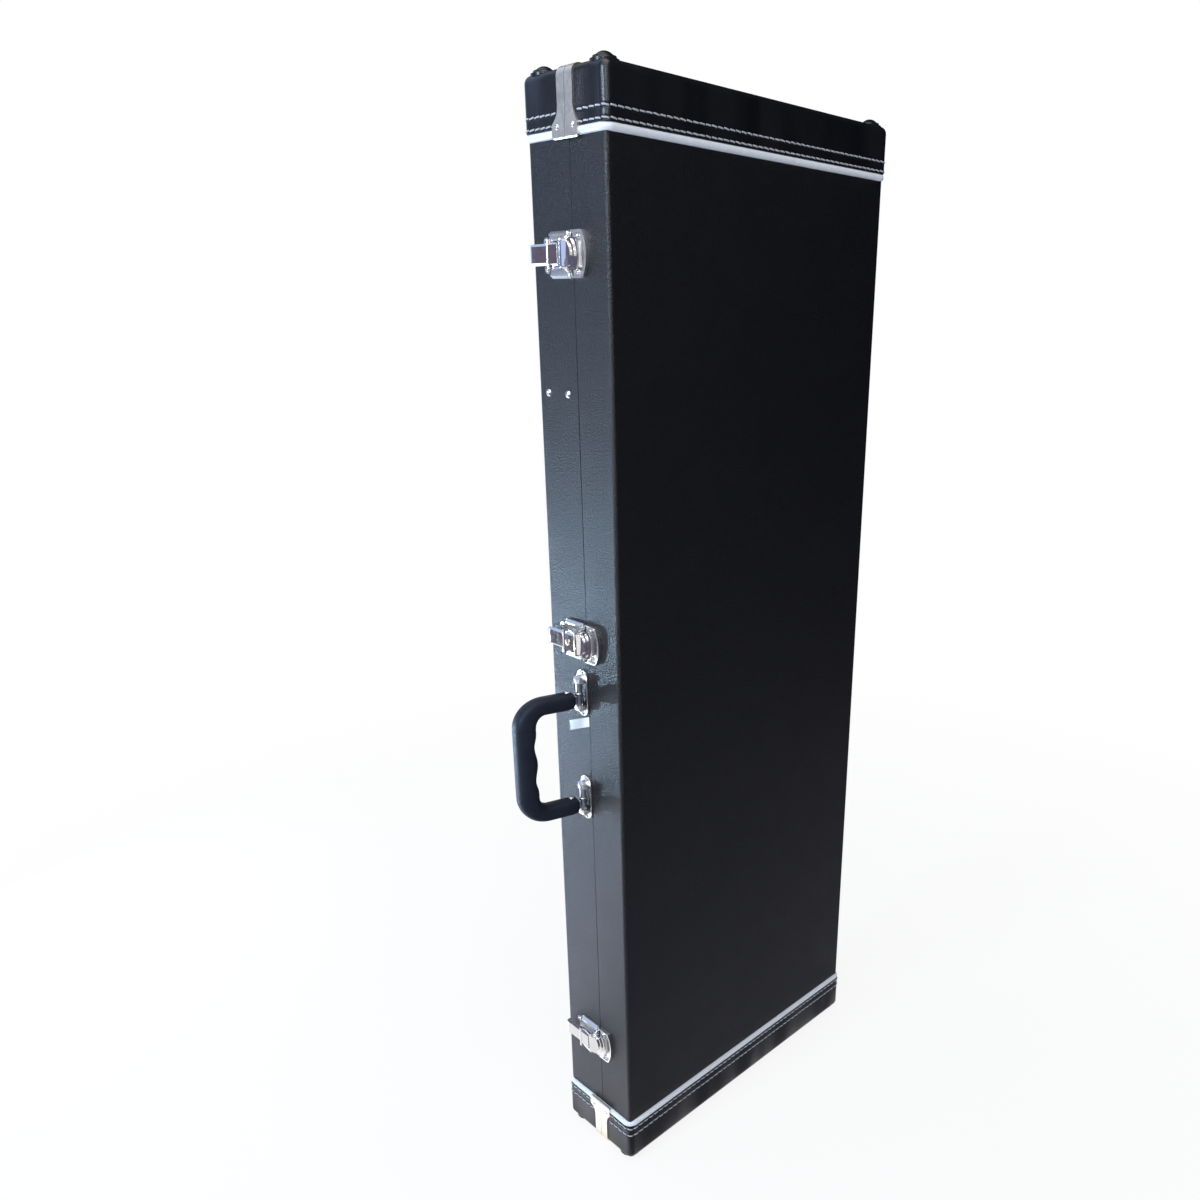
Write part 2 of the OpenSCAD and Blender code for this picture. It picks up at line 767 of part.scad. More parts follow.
module lever(locked) {
    difference() {
        union() {
            // Cheeks beside the claw's knuckle
            for (s = [-1, 1])
                translate([0, s * (cheek_in + cheek_out) / 2, 0]) along(cheek_out - cheek_in) {
                    translate([lever_x, lever_z]) circle(2.4);
                    translate([claw_x, claw_z]) circle(2.1);
                    polygon([[lever_x + 1.4, lever_z - 1.9], [lever_x - 2.2, lever_z + 0.9],
                        [claw_x - 2.05, claw_z + 0.3], [claw_x, claw_z + 1.9],
                        [cover_end, lever_top - 2.3], [cover_end, latch_t + 1]]);
                }
            // Cover with sloped sides
            rotate([90, 0, 90]) translate([0, 0, cover_start])
                linear_extrude(cover_end - cover_start) polygon([
                    [-cheek_out, lever_top - 3.6], [-face_half, lever_top],
                    [face_half, lever_top], [cheek_out, lever_top - 3.6],
                    [cheek_in, lever_top - 4.6], [face_half, lever_top - 1.5],
                    [-face_half, lever_top - 1.5], [-cheek_in, lever_top - 4.6]]);
            // Cross ridge between the cover and the tab
            translate([cover_end + 0.6, 0, lever_top - 1.2]) rotate([90, 0, 0])
                cylinder(h = 2 * cheek_out, r = 1.8, center = true);
            // Finger tab
            intersection() {
                rotate([90, 0, 90]) translate([0, 0, cover_end]) linear_extrude(40) polygon([
                    [-tab_half, lever_top - 8], [-tab_half, lever_top - 2.4],
                    [-tab_face, lever_top - 0.6], [tab_face, lever_top - 0.6],
                    [tab_half, lever_top - 2.4], [tab_half, lever_top - 8]]);
                along(40) {
                    translate([cover_end, lever_top - 2.6])
                        square([tab_reach - 6 - cover_end, 2]);
                    translate([tab_reach - 6, lever_top - 6.6]) difference() {
                        circle(6);
                        circle(4);
                        translate([-20, -10]) square([20, 20]);
                        translate([-1, -10]) square([20, 10]);
                    }
                }
                linear_extrude(30) {
                    translate([cover_end, -tab_half]) square([20, 2 * tab_half]);
                    translate([tab_reach - tab_end_r, 0]) circle(tab_end_r, $fn = 64);
                }
            }
        }
        // Bores for the two pins
        translate([lever_x, 0, lever_z]) rotate([90, 0, 0])
            cylinder(h = far, r = lever_pin_r + pin_fit, center = true);
        translate([claw_x, 0, claw_z]) rotate([90, 0, 0])
            cylinder(h = far, r = claw_pin_r + pin_fit, center = true);
        if (locked)
            translate([lock_x, 0, 0]) cylinder(h = far, r = lock_r + pin_fit);
    }
}

module lower_latch_lever() { color("silver") place_latch(0) lever(false); }
module middle_latch_lever() { color("silver") place_latch(1) lever(true); }
module upper_latch_lever() { color("silver") place_latch(2) lever(false); }

// Claw: a knuckle on its pin and a stepped, bowed plate that reaches over the
// keeper's rib. Its nose stays level with the top of the rib
claw_half = cheek_in - 0.25;
claw_steps = [
    // reach past the seam, half height, distance from the covering, thickness, bow
    [14, claw_half + 2.8, claw_under, 1.6, 24],
    [10.5, claw_half + 1.6, claw_under + 1.5, 1.5, 17],
    [7, claw_half + 0.4, claw_under + 2.9, 1.5, 12]];

module claw() {
    intersection() {
        for (s = claw_steps)
            translate([0, 0, s[2]]) linear_extrude(s[3]) bow(s[0], s[1], s[4], 4);
        translate([-far, -far, 0]) cube([far + lever_x - 4, 2 * far, far]);
    }
    along(2 * claw_half) polygon([
        [lever_x - 5, claw_under], [lever_x - 5, claw_under + 4.2],
        [claw_x - 3, claw_z + 1.7], [claw_x, claw_z + 1.9],
        [claw_x + 1.8, claw_z - 0.6], [lever_x, claw_under + 0.6]]);
    translate([claw_x, 0, claw_z]) rotate([90, 0, 0]) {
        cylinder(h = 2 * claw_half, r = 2.1, center = true);
        cylinder(h = 2 * cheek_out + 0.8, r = claw_pin_r, center = true);
    }
}

module lower_latch_claw() { color("silver") place_latch(0) claw(); }
module middle_latch_claw() { color("silver") place_latch(1) claw(); }
module upper_latch_claw() { color("silver") place_latch(2) claw(); }

module lock_cylinder() {
    color("white") place_latch(1) translate([lock_x, 0, 0]) difference() {
        union() {
            translate([0, 0, lever_top - 4.6]) cylinder(h = 5.2, r = lock_r);
            translate([0, 0, lever_top + 0.6]) dome_rivet(lock_r, 0.5);
        }
        translate([-2, -lock_slot_w / 2, lever_top]) cube([4, lock_slot_w, 5]);
    }
}

// Handle: two brackets with an upright bar, two links and a moulded grip

bar_y = seam_y + bracket_y;
grip_x = -side_x - bar_out;
grip_low_z = bracket_z[0] - handle_drop;
grip_high_z = bracket_z[1] - handle_drop;
grip_out_x = -side_x - grip_reach;
arm_r = grip_arm_t / 2;
link_half = arm_r * 0.75;
window_half = link_half + handle_drop + fit_gap;
bracket_t = 1.4;

// A pressed oval plate, domed at both ends, with a window crossed by its bar
module bracket() {
    end = bracket_h / 2;
    dome_top = bar_out + bar_r + 0.6;
    dome_r = bracket_w / 2 + 0.2;
    dome_end = end - 4.2;
    linear_extrude(bracket_t) difference() {
        union() {
            translate([-bracket_w / 2, -end + bracket_w / 2])
                square([bracket_w, bracket_h - bracket_w]);
            for (s = [-1, 1]) translate([0, s * (end - bracket_w / 2)])
                circle(bracket_w / 2);
        }
        translate([1.6 - bracket_w / 2, -window_half])
            square([bracket_w - 3.2, 2 * window_half]);
    }
    for (s = [0, 1]) mirror([0, s, 0]) intersection() {
        rotate([90, 0, 90]) translate([0, 0, -bracket_w / 2]) linear_extrude(bracket_w)
            polygon([[window_half, 0], [window_half, dome_top], [window_half + 2, dome_top],
                [dome_end - 2.2, dome_top - 1.2], [dome_end - 0.7, dome_top - 3.6], [dome_end, 0]]);
        translate([0, 0, dome_top - dome_r]) rotate([-90, 0, 0]) cylinder(h = end, r = dome_r);
        translate([0, dome_end - dome_r, 0]) union() {
            cylinder(h = dome_top, r = dome_r - 0.6);
            translate([0.6 - dome_r, -dome_r, 0])
                cube([2 * dome_r - 1.2, dome_r, dome_top]);
        }
    }
    translate([0, 0, bar_out]) rotate([90, 0, 0])
        cylinder(h = 2 * window_half + 3, r = bar_r, center = true);
}

module handle_brackets() {
    color("silver") for (z = bracket_z) on_latch_side(bar_y, z) bracket();
}

module bracket_rivets() {
    color("white") for (z = bracket_z, s = [-1, 1])
        on_latch_side(bar_y, z + s * (bracket_h / 2 - 2.3)) translate([0, 0, bracket_t])
            dome_rivet(1.8, 1);
}

link_eye_r = bar_r + 1.1;
link_t = 5;
link_h = 8;
link_len = 20;
cross_pin_x = grip_x - 12;
cross_pin_r = 1.5;

// Turns the handle's pieces about the brackets' bars
module swung() {
    translate([grip_x, bar_y, 0]) rotate([0, 0, -handle_lean])
        translate([-grip_x, -bar_y, 0]) children();
}

// A sleeve on the bracket's bar with a tongue that goes into the grip's arm
module handle_links() {
    color("silver") swung() for (z = [grip_low_z, grip_high_z])
        translate([grip_x, bar_y, z]) difference() {
            union() {
                cylinder(h = 2 * link_half, r = link_eye_r, center = true);
                translate([-link_len, -link_t / 2, -link_h / 2])
                    cube([link_len, link_t, link_h]);
            }
            cylinder(h = 3 * link_half, r = bar_r + pin_fit, center = true);
            translate([cross_pin_x - grip_x, 0, 0])
                cylinder(h = 3 * link_h, r = cross_pin_r, center = true);
        }
}

module handle_cross_pins() {
    color("gainsboro") swung() for (z = [grip_low_z, grip_high_z])
        translate([cross_pin_x, bar_y, z]) {
            cylinder(h = grip_arm_t + 1.2, r = cross_pin_r, center = true);
            for (s = [0, 1]) mirror([0, 0, s]) translate([0, 0, arm_r])
                dome_rivet(2.4, 1.4);
        }
}

// The grip is one sweep of a rounded-square section along its centre line:
// arm, corner, outer bar, corner, arm
sweep_sides = 24;
arm_steps = 4;
corner_steps = 8;
bar_steps = 18;
nose_gap = link_eye_r + 1.4;
nose_x = grip_x - nose_gap;
bar_mid_x = grip_out_x + grip_bar_t / 2;
turn_r = grip_corner_r - grip_bar_t / 2;
bar_len = grip_high_z - grip_low_z - 2 * turn_r;

function smooth(t) = t * t * (3 - 2 * t);

// Each station: x, z, direction of the outer side, half thickness outwards,
// half thickness inwards, half width across
function grip_arm(top) = [
    for (i = [0 : arm_steps]) let(
        t = i / arm_steps,
        // The first two stations round the arm's nose
        k = i == 0 ? 0.62 : (i == 1 ? 0.93 : 1),
        x = nose_x - (i == 1 ? arm_r / 4 : t * (nose_x - bar_mid_x - turn_r)))
    [x, top ? grip_high_z : grip_low_z, top ? 90 : -90, k * arm_r, k * arm_r, k * arm_r]];

function grip_corner(top) = [
    for (i = [1 : corner_steps - 1]) let(
        t = i / corner_steps,
        a = (top ? 1 : -1) * (90 + 90 * t),
        half = arm_r + (grip_bar_t / 2 - arm_r) * smooth(t),
        across = arm_r + (grip_bar_w / 2 - arm_r) * smooth(t))
    [bar_mid_x + turn_r + turn_r * cos(a),
        (top ? grip_high_z - turn_r : grip_low_z + turn_r) + turn_r * sin(a),
        a, half, half, across]];

function grip_bar() = [
    for (i = [0 : bar_steps]) let(
        d = bar_len * (0.5 - i / bar_steps),
        fade = smooth(min(1, 4 * min(i, bar_steps - i) / bar_steps)),
        dip = fade * wave_depth * (1 - cos(360 * d / wave_pitch)) / 2)
    [bar_mid_x, (grip_high_z + grip_low_z) / 2 + d, 180,
        grip_bar_t / 2, grip_bar_t / 2 - dip, grip_bar_w / 2]];

function reversed(list) = [for (i = [len(list) - 1 : -1 : 0]) list[i]];

grip_stations = concat(grip_arm(true), grip_corner(true), grip_bar(),
    reversed(grip_corner(false)), reversed(grip_arm(false)));

function squarish(v) = sign(v) * pow(abs(v), 0.7);

function grip_ring(s) = [
    for (j = [0 : sweep_sides - 1]) let(
        a = 360 * j / sweep_sides,
        out = squarish(cos(a)),
        r = out > 0 ? s[3] * out : s[4] * out)
    [s[0] + r * cos(s[2]), bar_y + s[5] * squarish(sin(a)), s[1] + r * sin(s[2])]];

module grip_sweep() {
    count = len(grip_stations);
    points = [for (s = grip_stations) each grip_ring(s)];
    sides = [
        for (i = [0 : count - 2], j = [0 : sweep_sides - 1]) let(
            k = (j + 1) % sweep_sides,
            a = i * sweep_sides + j,
            b = i * sweep_sides + k,
            c = a + sweep_sides,
            d = b + sweep_sides)
        each [[a, d, b], [a, c, d]]];
    polyhedron(points, concat(
        [[for (j = [0 : sweep_sides - 1]) j]],
        sides,
        [reversed([for (j = [0 : sweep_sides - 1]) (count - 1) * sweep_sides + j])]));
}

module handle_grip() {
    color([0.1, 0.11, 0.15]) swung() difference() {
        grip_sweep();
        for (z = [grip_low_z, grip_high_z]) translate([0, bar_y, z]) {
            slab(grip_x - link_len - fit_gap, 0, -link_t / 2 - fit_gap, link_t / 2 + fit_gap,
                -link_h / 2 - fit_gap, link_h / 2 + fit_gap);
            translate([cross_pin_x, 0, 0])
                cylinder(h = 2 * grip_arm_t, r = cross_pin_r + pin_fit, center = true);
        }
    }
}

// Hinges on the narrow side away from the latches

knuckle_count = 5;
knuckle_gap = 0.4;
knuckle_len = hinge_h / knuckle_count;
axis_x = side_x + hinge_out;

module leaf(half, z) {
    own = half > 0 ? [0, 2, 4] : [1, 3];
    translate([0, 0, z - hinge_h / 2]) difference() {
        union() {
            slab(side_x, side_x + leaf_t,
                half > 0 ? seam_y + seam_gap / 2 : seam_y - leaf_w,
                half > 0 ? seam_y + leaf_w : seam_y - seam_gap / 2, 0, hinge_h);
            for (k = own) translate([0, 0, k * knuckle_len + knuckle_gap / 2]) {
                translate([axis_x, seam_y, 0])
                    cylinder(h = knuckle_len - knuckle_gap, r = knuckle_r);
                translate([side_x, half > 0 ? seam_y + 0.2 : seam_y - knuckle_r + 0.2, 0])
                    cube([hinge_out, knuckle_r - 0.4, knuckle_len - knuckle_gap]);
            }
        }
        translate([axis_x, seam_y, -1]) cylinder(h = hinge_h + 2, r = hinge_pin_r + pin_fit);
        // Room for the other leaf's knuckles
        for (k = [0 : knuckle_count - 1])
            if (len(search(k, own)) == 0)
                translate([axis_x, seam_y, k * knuckle_len - knuckle_gap / 2])
                    cylinder(h = knuckle_len + knuckle_gap, r = knuckle_r + knuckle_gap);
    }
}

module hinge_body_leaves() { color("silver") for (z = hinge_z) leaf(1, z); }
module hinge_lid_leaves() { color("silver") for (z = hinge_z) leaf(-1, z); }

module hinge_pins() {
    color("gainsboro") for (z = hinge_z) translate([axis_x, seam_y, z]) {
        cylinder(h = hinge_h, r = hinge_pin_r, center = true);
        for (s = [0, 1]) mirror([0, 0, s]) translate([0, 0, hinge_h / 2])
            dome_rivet(3, 1.6);
    }
}

module hinge_rivets(half) {
    color("white") for (z = hinge_z, k = [-1, 1])
        translate([side_x + leaf_t, seam_y + half * (leaf_w - 6), z + k * (hinge_h / 2 - 10)])
            rotate([0, 90, 0]) dome_rivet(2.6, 1.5);
}
module hinge_body_rivets() { hinge_rivets(1); }
module hinge_lid_rivets() { hinge_rivets(-1); }

// Padding of the front half

module lid_pad() {
    color("maroon") slab(-lid_in_x, lid_in_x, lid_in_y, lid_in_y + lid_pad_t,
        lid_in_low, lid_in_high);
}

module lid_side_lining() {
    lining_t = 1.6;
    y0 = lid_in_y + lid_pad_t;
    y1 = lip_front_y - 1.5;
    color("firebrick") {
        for (s = [-1, 1])
            slab(min(s * lid_in_x, s * (lid_in_x - lining_t)),
                max(s * lid_in_x, s * (lid_in_x - lining_t)), y0, y1, lid_in_low, lid_in_high);
        for (z = [lid_in_low, lid_in_high - lining_t])
            slab(-lid_in_x + lining_t, lid_in_x - lining_t, y0, y1, z, z + lining_t);
    }
}

// Rivets of the seam clips
module clip_rivets(half) {
    color("white") for (sx = [-1, 1], top = [false, true])
        translate([sx * (side_x + clip_foot_out), seam_y + half * clip_rivet_y,
            top ? high_z - clip_len + clip_rivet_rise : low_z + clip_len - clip_rivet_rise])
            rotate([0, sx * 90, 0]) dome_rivet(clip_rivet_r, 1.1);
}
module body_clip_rivets() { clip_rivets(1); }
module lid_clip_rivets() { clip_rivets(-1); }

body_side_boards();
body_end_boards();
back_panel();
body_covering();
body_lip();
floor_pad();
lower_padding();
upper_padding();
neck_cradle();
accessory_partition();
accessory_batten();
partition_screws();
body_top_cap();
body_bottom_cap();
body_top_piping();
body_bottom_piping();
body_clips();
body_clip_rivets();
body_end_feet();
body_spine_feet();
latch_bases();
latch_base_pins();
latch_base_rivets();
handle_brackets();
bracket_rivets();
hinge_body_leaves();
hinge_pins();
hinge_body_rivets();
lid_side_boards();
lid_end_boards();
lid_panel();
lid_covering();
lid_pad();
lid_side_lining();
lid_top_cap();
lid_bottom_cap();
lid_top_piping();
lid_bottom_piping();
lid_clips();
lid_clip_rivets();
lid_end_feet();
lid_spine_feet();
latch_keepers();
keeper_rivets();
hinge_lid_leaves();
hinge_lid_rivets();
handle_grip();
handle_links();
handle_cross_pins();
lower_latch_lever();
middle_latch_lever();
upper_latch_lever();
lower_latch_claw();
middle_latch_claw();
upper_latch_claw();
lock_cylinder();
accessory_lid();
accessory_pull_tab();
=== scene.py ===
"""Looks of the electric guitar case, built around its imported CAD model. Metres, in the CAD's frame:
X from the latches to the hinges, Y from the lid to the back, Z up from the floor."""

import json
import math
import random

import bmesh
import bpy
from mathutils import Matrix, Vector, noise


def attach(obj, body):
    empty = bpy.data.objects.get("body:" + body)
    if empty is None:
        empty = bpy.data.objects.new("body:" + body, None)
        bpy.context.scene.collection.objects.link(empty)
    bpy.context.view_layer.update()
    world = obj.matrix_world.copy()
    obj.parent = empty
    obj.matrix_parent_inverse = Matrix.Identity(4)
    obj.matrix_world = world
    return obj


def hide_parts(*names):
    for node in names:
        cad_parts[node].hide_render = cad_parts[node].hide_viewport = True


MM = 0.001
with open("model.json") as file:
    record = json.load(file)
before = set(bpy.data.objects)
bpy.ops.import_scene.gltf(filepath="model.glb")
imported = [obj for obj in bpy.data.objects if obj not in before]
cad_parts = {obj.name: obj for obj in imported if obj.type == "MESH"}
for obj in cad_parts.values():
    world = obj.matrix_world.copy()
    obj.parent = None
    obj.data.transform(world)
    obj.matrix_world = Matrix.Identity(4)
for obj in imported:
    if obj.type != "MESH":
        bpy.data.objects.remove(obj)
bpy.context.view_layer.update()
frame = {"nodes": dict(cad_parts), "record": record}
nodes = frame["nodes"]


# Sizes that the scene's pieces share with the CAD: the shell's half width and half depth, the seam
# between the back half and the lid, the shell's ends, the caps' outline and corner radius, and how
# far their stitches run from the ends

side_x = 0.180
back_y = 0.050
seam_y = -0.005
low_z = 0.006
high_z = 1.050
cap_x = side_x + 0.0023
cap_y = back_y + 0.0023
cap_corner = 0.007
stitch_insets = (0.0322, 0.0408)


def stitch_heights(top):
    return [high_z - inset if top else low_z + inset for inset in stitch_insets]


# Node graphs


class Graph:
    """A node tree and short ways to build it."""

    def __init__(self, tree):
        self.tree = tree

    def add(self, kind, **settings):
        made = self.tree.nodes.new("ShaderNode" + kind)
        for name, value in settings.items():
            setattr(made, name, value)
        return made

    def feed(self, socket, value):
        if isinstance(value, bpy.types.NodeSocket):
            self.tree.links.new(value, socket)
        else:
            socket.default_value = value

    def math(self, operation, a, b=0.0, c=0.0, clamp=False):
        made = self.add("Math", operation=operation, use_clamp=clamp)
        for socket, value in zip(made.inputs, (a, b, c)):
            self.feed(socket, value)
        return made.outputs[0]

    def seen(self):
        """1 for rays from the camera, a mirror or glass, and 0 for the light on the object."""
        ray = self.add("LightPath")
        behind = self.math("MAXIMUM", ray.outputs["Is Glossy Ray"],
                           ray.outputs["Is Transmission Ray"])
        return self.math("MAXIMUM", ray.outputs["Is Camera Ray"], behind)


class Look(Graph):
    """One procedural material. Coordinates are the object's own, in metres."""

    def __init__(self, name):
        self.material = bpy.data.materials.new(name)
        self.material.use_nodes = True
        super().__init__(self.material.node_tree)
        self.shader = self.tree.nodes["Principled BSDF"]
        self.coords = self.add("TexCoord").outputs["Object"]
        self.normal = None

    def stretched(self, scale, coords=None):
        mapping = self.add("Mapping")
        self.feed(mapping.inputs["Vector"], coords or self.coords)
        mapping.inputs["Scale"].default_value = scale
        return mapping.outputs["Vector"]

    def noise(self, scale, detail=3, roughness=0.5, stretch=None, distortion=0, coords=None):
        made = self.add("TexNoise")
        source = self.stretched(stretch, coords) if stretch else (coords or self.coords)
        self.feed(made.inputs["Vector"], source)
        made.inputs["Scale"].default_value = scale
        made.inputs["Detail"].default_value = detail
        made.inputs["Roughness"].default_value = roughness
        made.inputs["Distortion"].default_value = distortion
        return made.outputs["Fac"]

    def cells(self, scale, smooth=0.6, warp=0.25, coords=None):
        """Rounded pebbles: 0 at their middles, about 1 between them."""
        wobble = self.add("TexNoise")
        source = coords or self.coords
        self.feed(wobble.inputs["Vector"], source)
        wobble.inputs["Scale"].default_value = scale * 0.8
        moved = self.add("VectorMath", operation="MULTIPLY_ADD")
        self.feed(moved.inputs[0], wobble.outputs["Color"])
        moved.inputs[1].default_value = (warp / scale,) * 3
        self.feed(moved.inputs[2], source)
        made = self.add("TexVoronoi", feature="SMOOTH_F1")
        self.feed(made.inputs["Vector"], moved.outputs[0])
        made.inputs["Scale"].default_value = scale
        made.inputs["Smoothness"].default_value = smooth
        return made.outputs["Distance"]

    def ramp(self, value, *stops):
        made = self.add("ValToRGB")
        self.feed(made.inputs["Fac"], value)
        elements = made.color_ramp.elements
        while len(elements) < len(stops):
            elements.new(0.5)
        for element, (position, colour) in zip(elements, stops):
            element.position = position
            if not hasattr(colour, "__len__"):
                colour = (colour,) * 3
            element.color = (*colour, 1)
        return made.outputs["Color"]

    def mix(self, share, a, b, blend="MIX"):
        made = self.add("Mix", data_type="RGBA", blend_type=blend)
        self.feed(made.inputs["Factor"], share)
        colours = [s for s in made.inputs if s.type == "RGBA"]
        for socket, value in zip(colours, (a, b)):
            if isinstance(value, tuple):
                value = (*value, 1)
            self.feed(socket, value)
        return [s for s in made.outputs if s.type == "RGBA"][0]

    def axis(self, name):
        split = self.add("SeparateXYZ")
        self.feed(split.inputs[0], self.coords)
        return split.outputs[name]

    def ridge(self, value, centre, width):
        """1 where value is at centre, falling to 0 at width from it."""
        away = self.math("ABSOLUTE", self.math("SUBTRACT", value, centre))
        return self.math("SUBTRACT", 1.0, self.math("DIVIDE", away, width), clamp=True)

    def bump(self, height, depth, strength=1.0):
        made = self.add("Bump")
        self.feed(made.inputs["Height"], height)
        made.inputs["Distance"].default_value = depth
        made.inputs["Strength"].default_value = strength
        if self.normal is not None:
            self.feed(made.inputs["Normal"], self.normal)
        self.normal = made.outputs["Normal"]

    def done(self, colour, roughness, **constants):
        self.feed(self.shader.inputs["Base Color"], colour)
        self.feed(self.shader.inputs["Roughness"], roughness)
        for name, value in constants.items():
            self.shader.inputs[name.replace("_", " ")].default_value = value
        if self.normal is not None:
            self.feed(self.shader.inputs["Normal"], self.normal)
        return self.material

    def emit(self, light):
        """Wires a light in as the whole material."""
        self.feed(self.tree.nodes["Material Output"].inputs["Surface"], light)


# Materials. Colours are linear, bump depths are in metres


def long_edge(look, width=0.003):
    """1 along the case's long outer edges, 0 elsewhere."""
    over_x = look.math("SUBTRACT", look.math("ABSOLUTE", look.axis("X")), side_x - width)
    over_y = look.math("SUBTRACT", look.math("ABSOLUTE", look.axis("Y")), back_y - width)
    near = look.math("MINIMUM", over_x, over_y)
    return look.math("DIVIDE", near, width, clamp=True)


def leathercloth(name, dark, light, grain_scale, grain_depth, rough, level, rows=False):
    look = Look(name)
    grain = look.cells(grain_scale)
    fine = look.noise(grain_scale * 2.6, 2)
    broad = look.noise(9, 4, 0.6)
    creases = look.noise(90, 4, 0.65, stretch=(1, 1, 0.35), distortion=0.6)
    colour = look.mix(broad, dark, light)
    # The pebbles' tops are a little lighter than the grooves between them
    tops = look.ramp(grain, (0.1, 1.0), (0.55, 0.55))
    colour = look.mix(0.8, colour, tops, "MULTIPLY")
    patches = look.ramp(look.noise(60, 5, 0.7), (0.42, 0.0), (0.7, 1.0))
    rub = look.math("MULTIPLY", long_edge(look), patches)
    colour = look.mix(look.math("MULTIPLY", rub, 0.12), colour, (0.08, 0.09, 0.11))
    look.bump(grain, -grain_depth)
    look.bump(fine, grain_depth * 0.35)
    look.bump(creases, 0.00018)
    look.bump(look.noise(grain_scale * 0.45, 2, stretch=(1, 1, 1.8)), grain_depth * 0.9)
    if rows:
        # The stitches pull the cloth in along two rows at each end
        height = look.axis("Z")
        for centre in (*stitch_heights(True), *stitch_heights(False)):
            look.bump(look.ridge(height, centre, 0.0024), -0.0006)
        look.bump(look.noise(17, 1, stretch=(1, 1, 0.3)), 0.0140)
    roughness = look.mix(look.noise(30, 3), (rough - 0.06,) * 3, (rough + 0.07,) * 3)
    return look.done(colour, roughness, Specular_IOR_Level=level)


def metal(name, bright, dull, rough, brushed=0.0, wave=0.0):
    look = Look(name)
    smudge = look.noise(140, 4, 0.65)
    colour = look.mix(smudge, bright, dull)
    roughness = look.ramp(look.noise(220, 5, 0.7), (0.35, rough), (0.75, rough + 0.12))
    if brushed:
        look.bump(look.noise(900, 2, stretch=(1, 1, 0.03)), brushed)
    if wave:
        look.bump(look.noise(160, 2), wave)
    return look.done(colour, roughness, Metallic=1.0)


def piping_look():
    look = Look("piping")
    dirt = look.ramp(look.noise(50, 5, 0.65), (0.5, 0.0), (0.8, 1.0))
    colour = look.mix(look.math("MULTIPLY", dirt, 0.25), (0.76, 0.79, 0.85), (0.50, 0.51, 0.52))
    look.bump(look.noise(35, 2), 0.0004)
    look.bump(look.noise(700, 2), 0.00003)
    return look.done(colour, look.ramp(look.noise(80, 3), (0.3, 0.20), (0.7, 0.30)),
                     Specular_IOR_Level=0.45)


def rubber_look():
    look = Look("foot_rubber")
    colour = look.mix(look.noise(120, 4), (0.004, 0.005, 0.007), (0.010, 0.011, 0.014))
    look.bump(look.noise(900, 3), 0.00002)
    return look.done(colour, look.ramp(look.noise(200, 3), (0.3, 0.22), (0.7, 0.32)),
                     Specular_IOR_Level=0.4)


def plywood_look():
    look = Look("plywood")
    rings = look.noise(26, 5, 0.6, stretch=(1, 1, 0.06), distortion=0.8)
    fibre = look.noise(420, 3, 0.6, stretch=(1, 1, 0.03))
    colour = look.mix(rings, (0.62, 0.43, 0.25), (0.42, 0.27, 0.14))
    colour = look.mix(look.math("MULTIPLY", fibre, 0.4), colour, (0.30, 0.19, 0.10))
    # The covering is turned in over the boards' rims at the seam
    from_seam = look.math("ABSOLUTE", look.math("SUBTRACT", look.axis("Y"), seam_y))
    in_centimetres = look.math("MULTIPLY", from_seam, 100, clamp=True)
    turned_in = look.ramp(in_centimetres, (0.88, 1.0), (0.9, 0.0))
    colour = look.mix(turned_in, colour, (0.006, 0.007, 0.009))
    look.bump(fibre, 0.0001)
    return look.done(colour, look.ramp(rings, (0.3, 0.5), (0.7, 0.65)), Specular_IOR_Level=0.35)


def lip_look():
    look = Look("lip_paint")
    fibre = look.noise(300, 3, 0.6, stretch=(1, 1, 0.04))
    colour = look.mix(look.noise(40, 4), (0.010, 0.010, 0.011), (0.022, 0.021, 0.021))
    look.bump(fibre, 0.00008)
    return look.done(colour, look.ramp(fibre, (0.3, 0.42), (0.7, 0.58)), Specular_IOR_Level=0.4)


def plush_look(name="plush", tint=(1.0, 1.0, 1.0)):
    look = Look(name)
    nap = look.noise(28, 4, 0.6, distortion=0.9)
    pile = look.noise(1700, 3, 0.7)
    dark = tuple(0.006 * t for t in tint)
    light = tuple(0.026 * t for t in tint)
    colour = look.mix(look.ramp(nap, (0.35, 0.0), (0.7, 1.0)), dark, light)
    colour = look.mix(look.math("MULTIPLY", pile, 0.5), colour, tuple(0.04 * t for t in tint))
    look.bump(nap, 0.0012)
    look.bump(pile, 0.0004)
    return look.done(colour, look.ramp(pile, (0.3, 0.85), (0.7, 1.0)), Specular_IOR_Level=0.15,
                     Sheen_Weight=0.22, Sheen_Roughness=0.4, Sheen_Tint=(0.55, 0.58, 0.66, 1))


def grip_look():
    look = Look("grip_plastic")
    grain = look.cells(1100, 0.7, 0.4)
    colour = look.mix(look.noise(70, 4), (0.009, 0.011, 0.018), (0.016, 0.020, 0.034))
    scuff = look.ramp(look.noise(240, 5, 0.75, stretch=(1, 1, 0.4)), (0.62, 0.0), (0.8, 1.0))
    colour = look.mix(look.math("MULTIPLY", scuff, 0.2), colour, (0.06, 0.065, 0.075))
    look.bump(grain, -0.00006)
    look.bump(look.noise(70, 3), 0.0002)
    return look.done(colour, look.ramp(look.noise(120, 3), (0.3, 0.44), (0.7, 0.56)),
                     Specular_IOR_Level=0.18)


def thread_look():
    look = Look("thread")
    twist = look.noise(1500, 2)
    colour = look.mix(twist, (0.30, 0.31, 0.34), (0.52, 0.54, 0.59))
    look.bump(twist, 0.0002)
    return look.done(colour, look.ramp(twist, (0.3, 0.5), (0.7, 0.7)), Specular_IOR_Level=0.3,
                     Sheen_Weight=0.2)


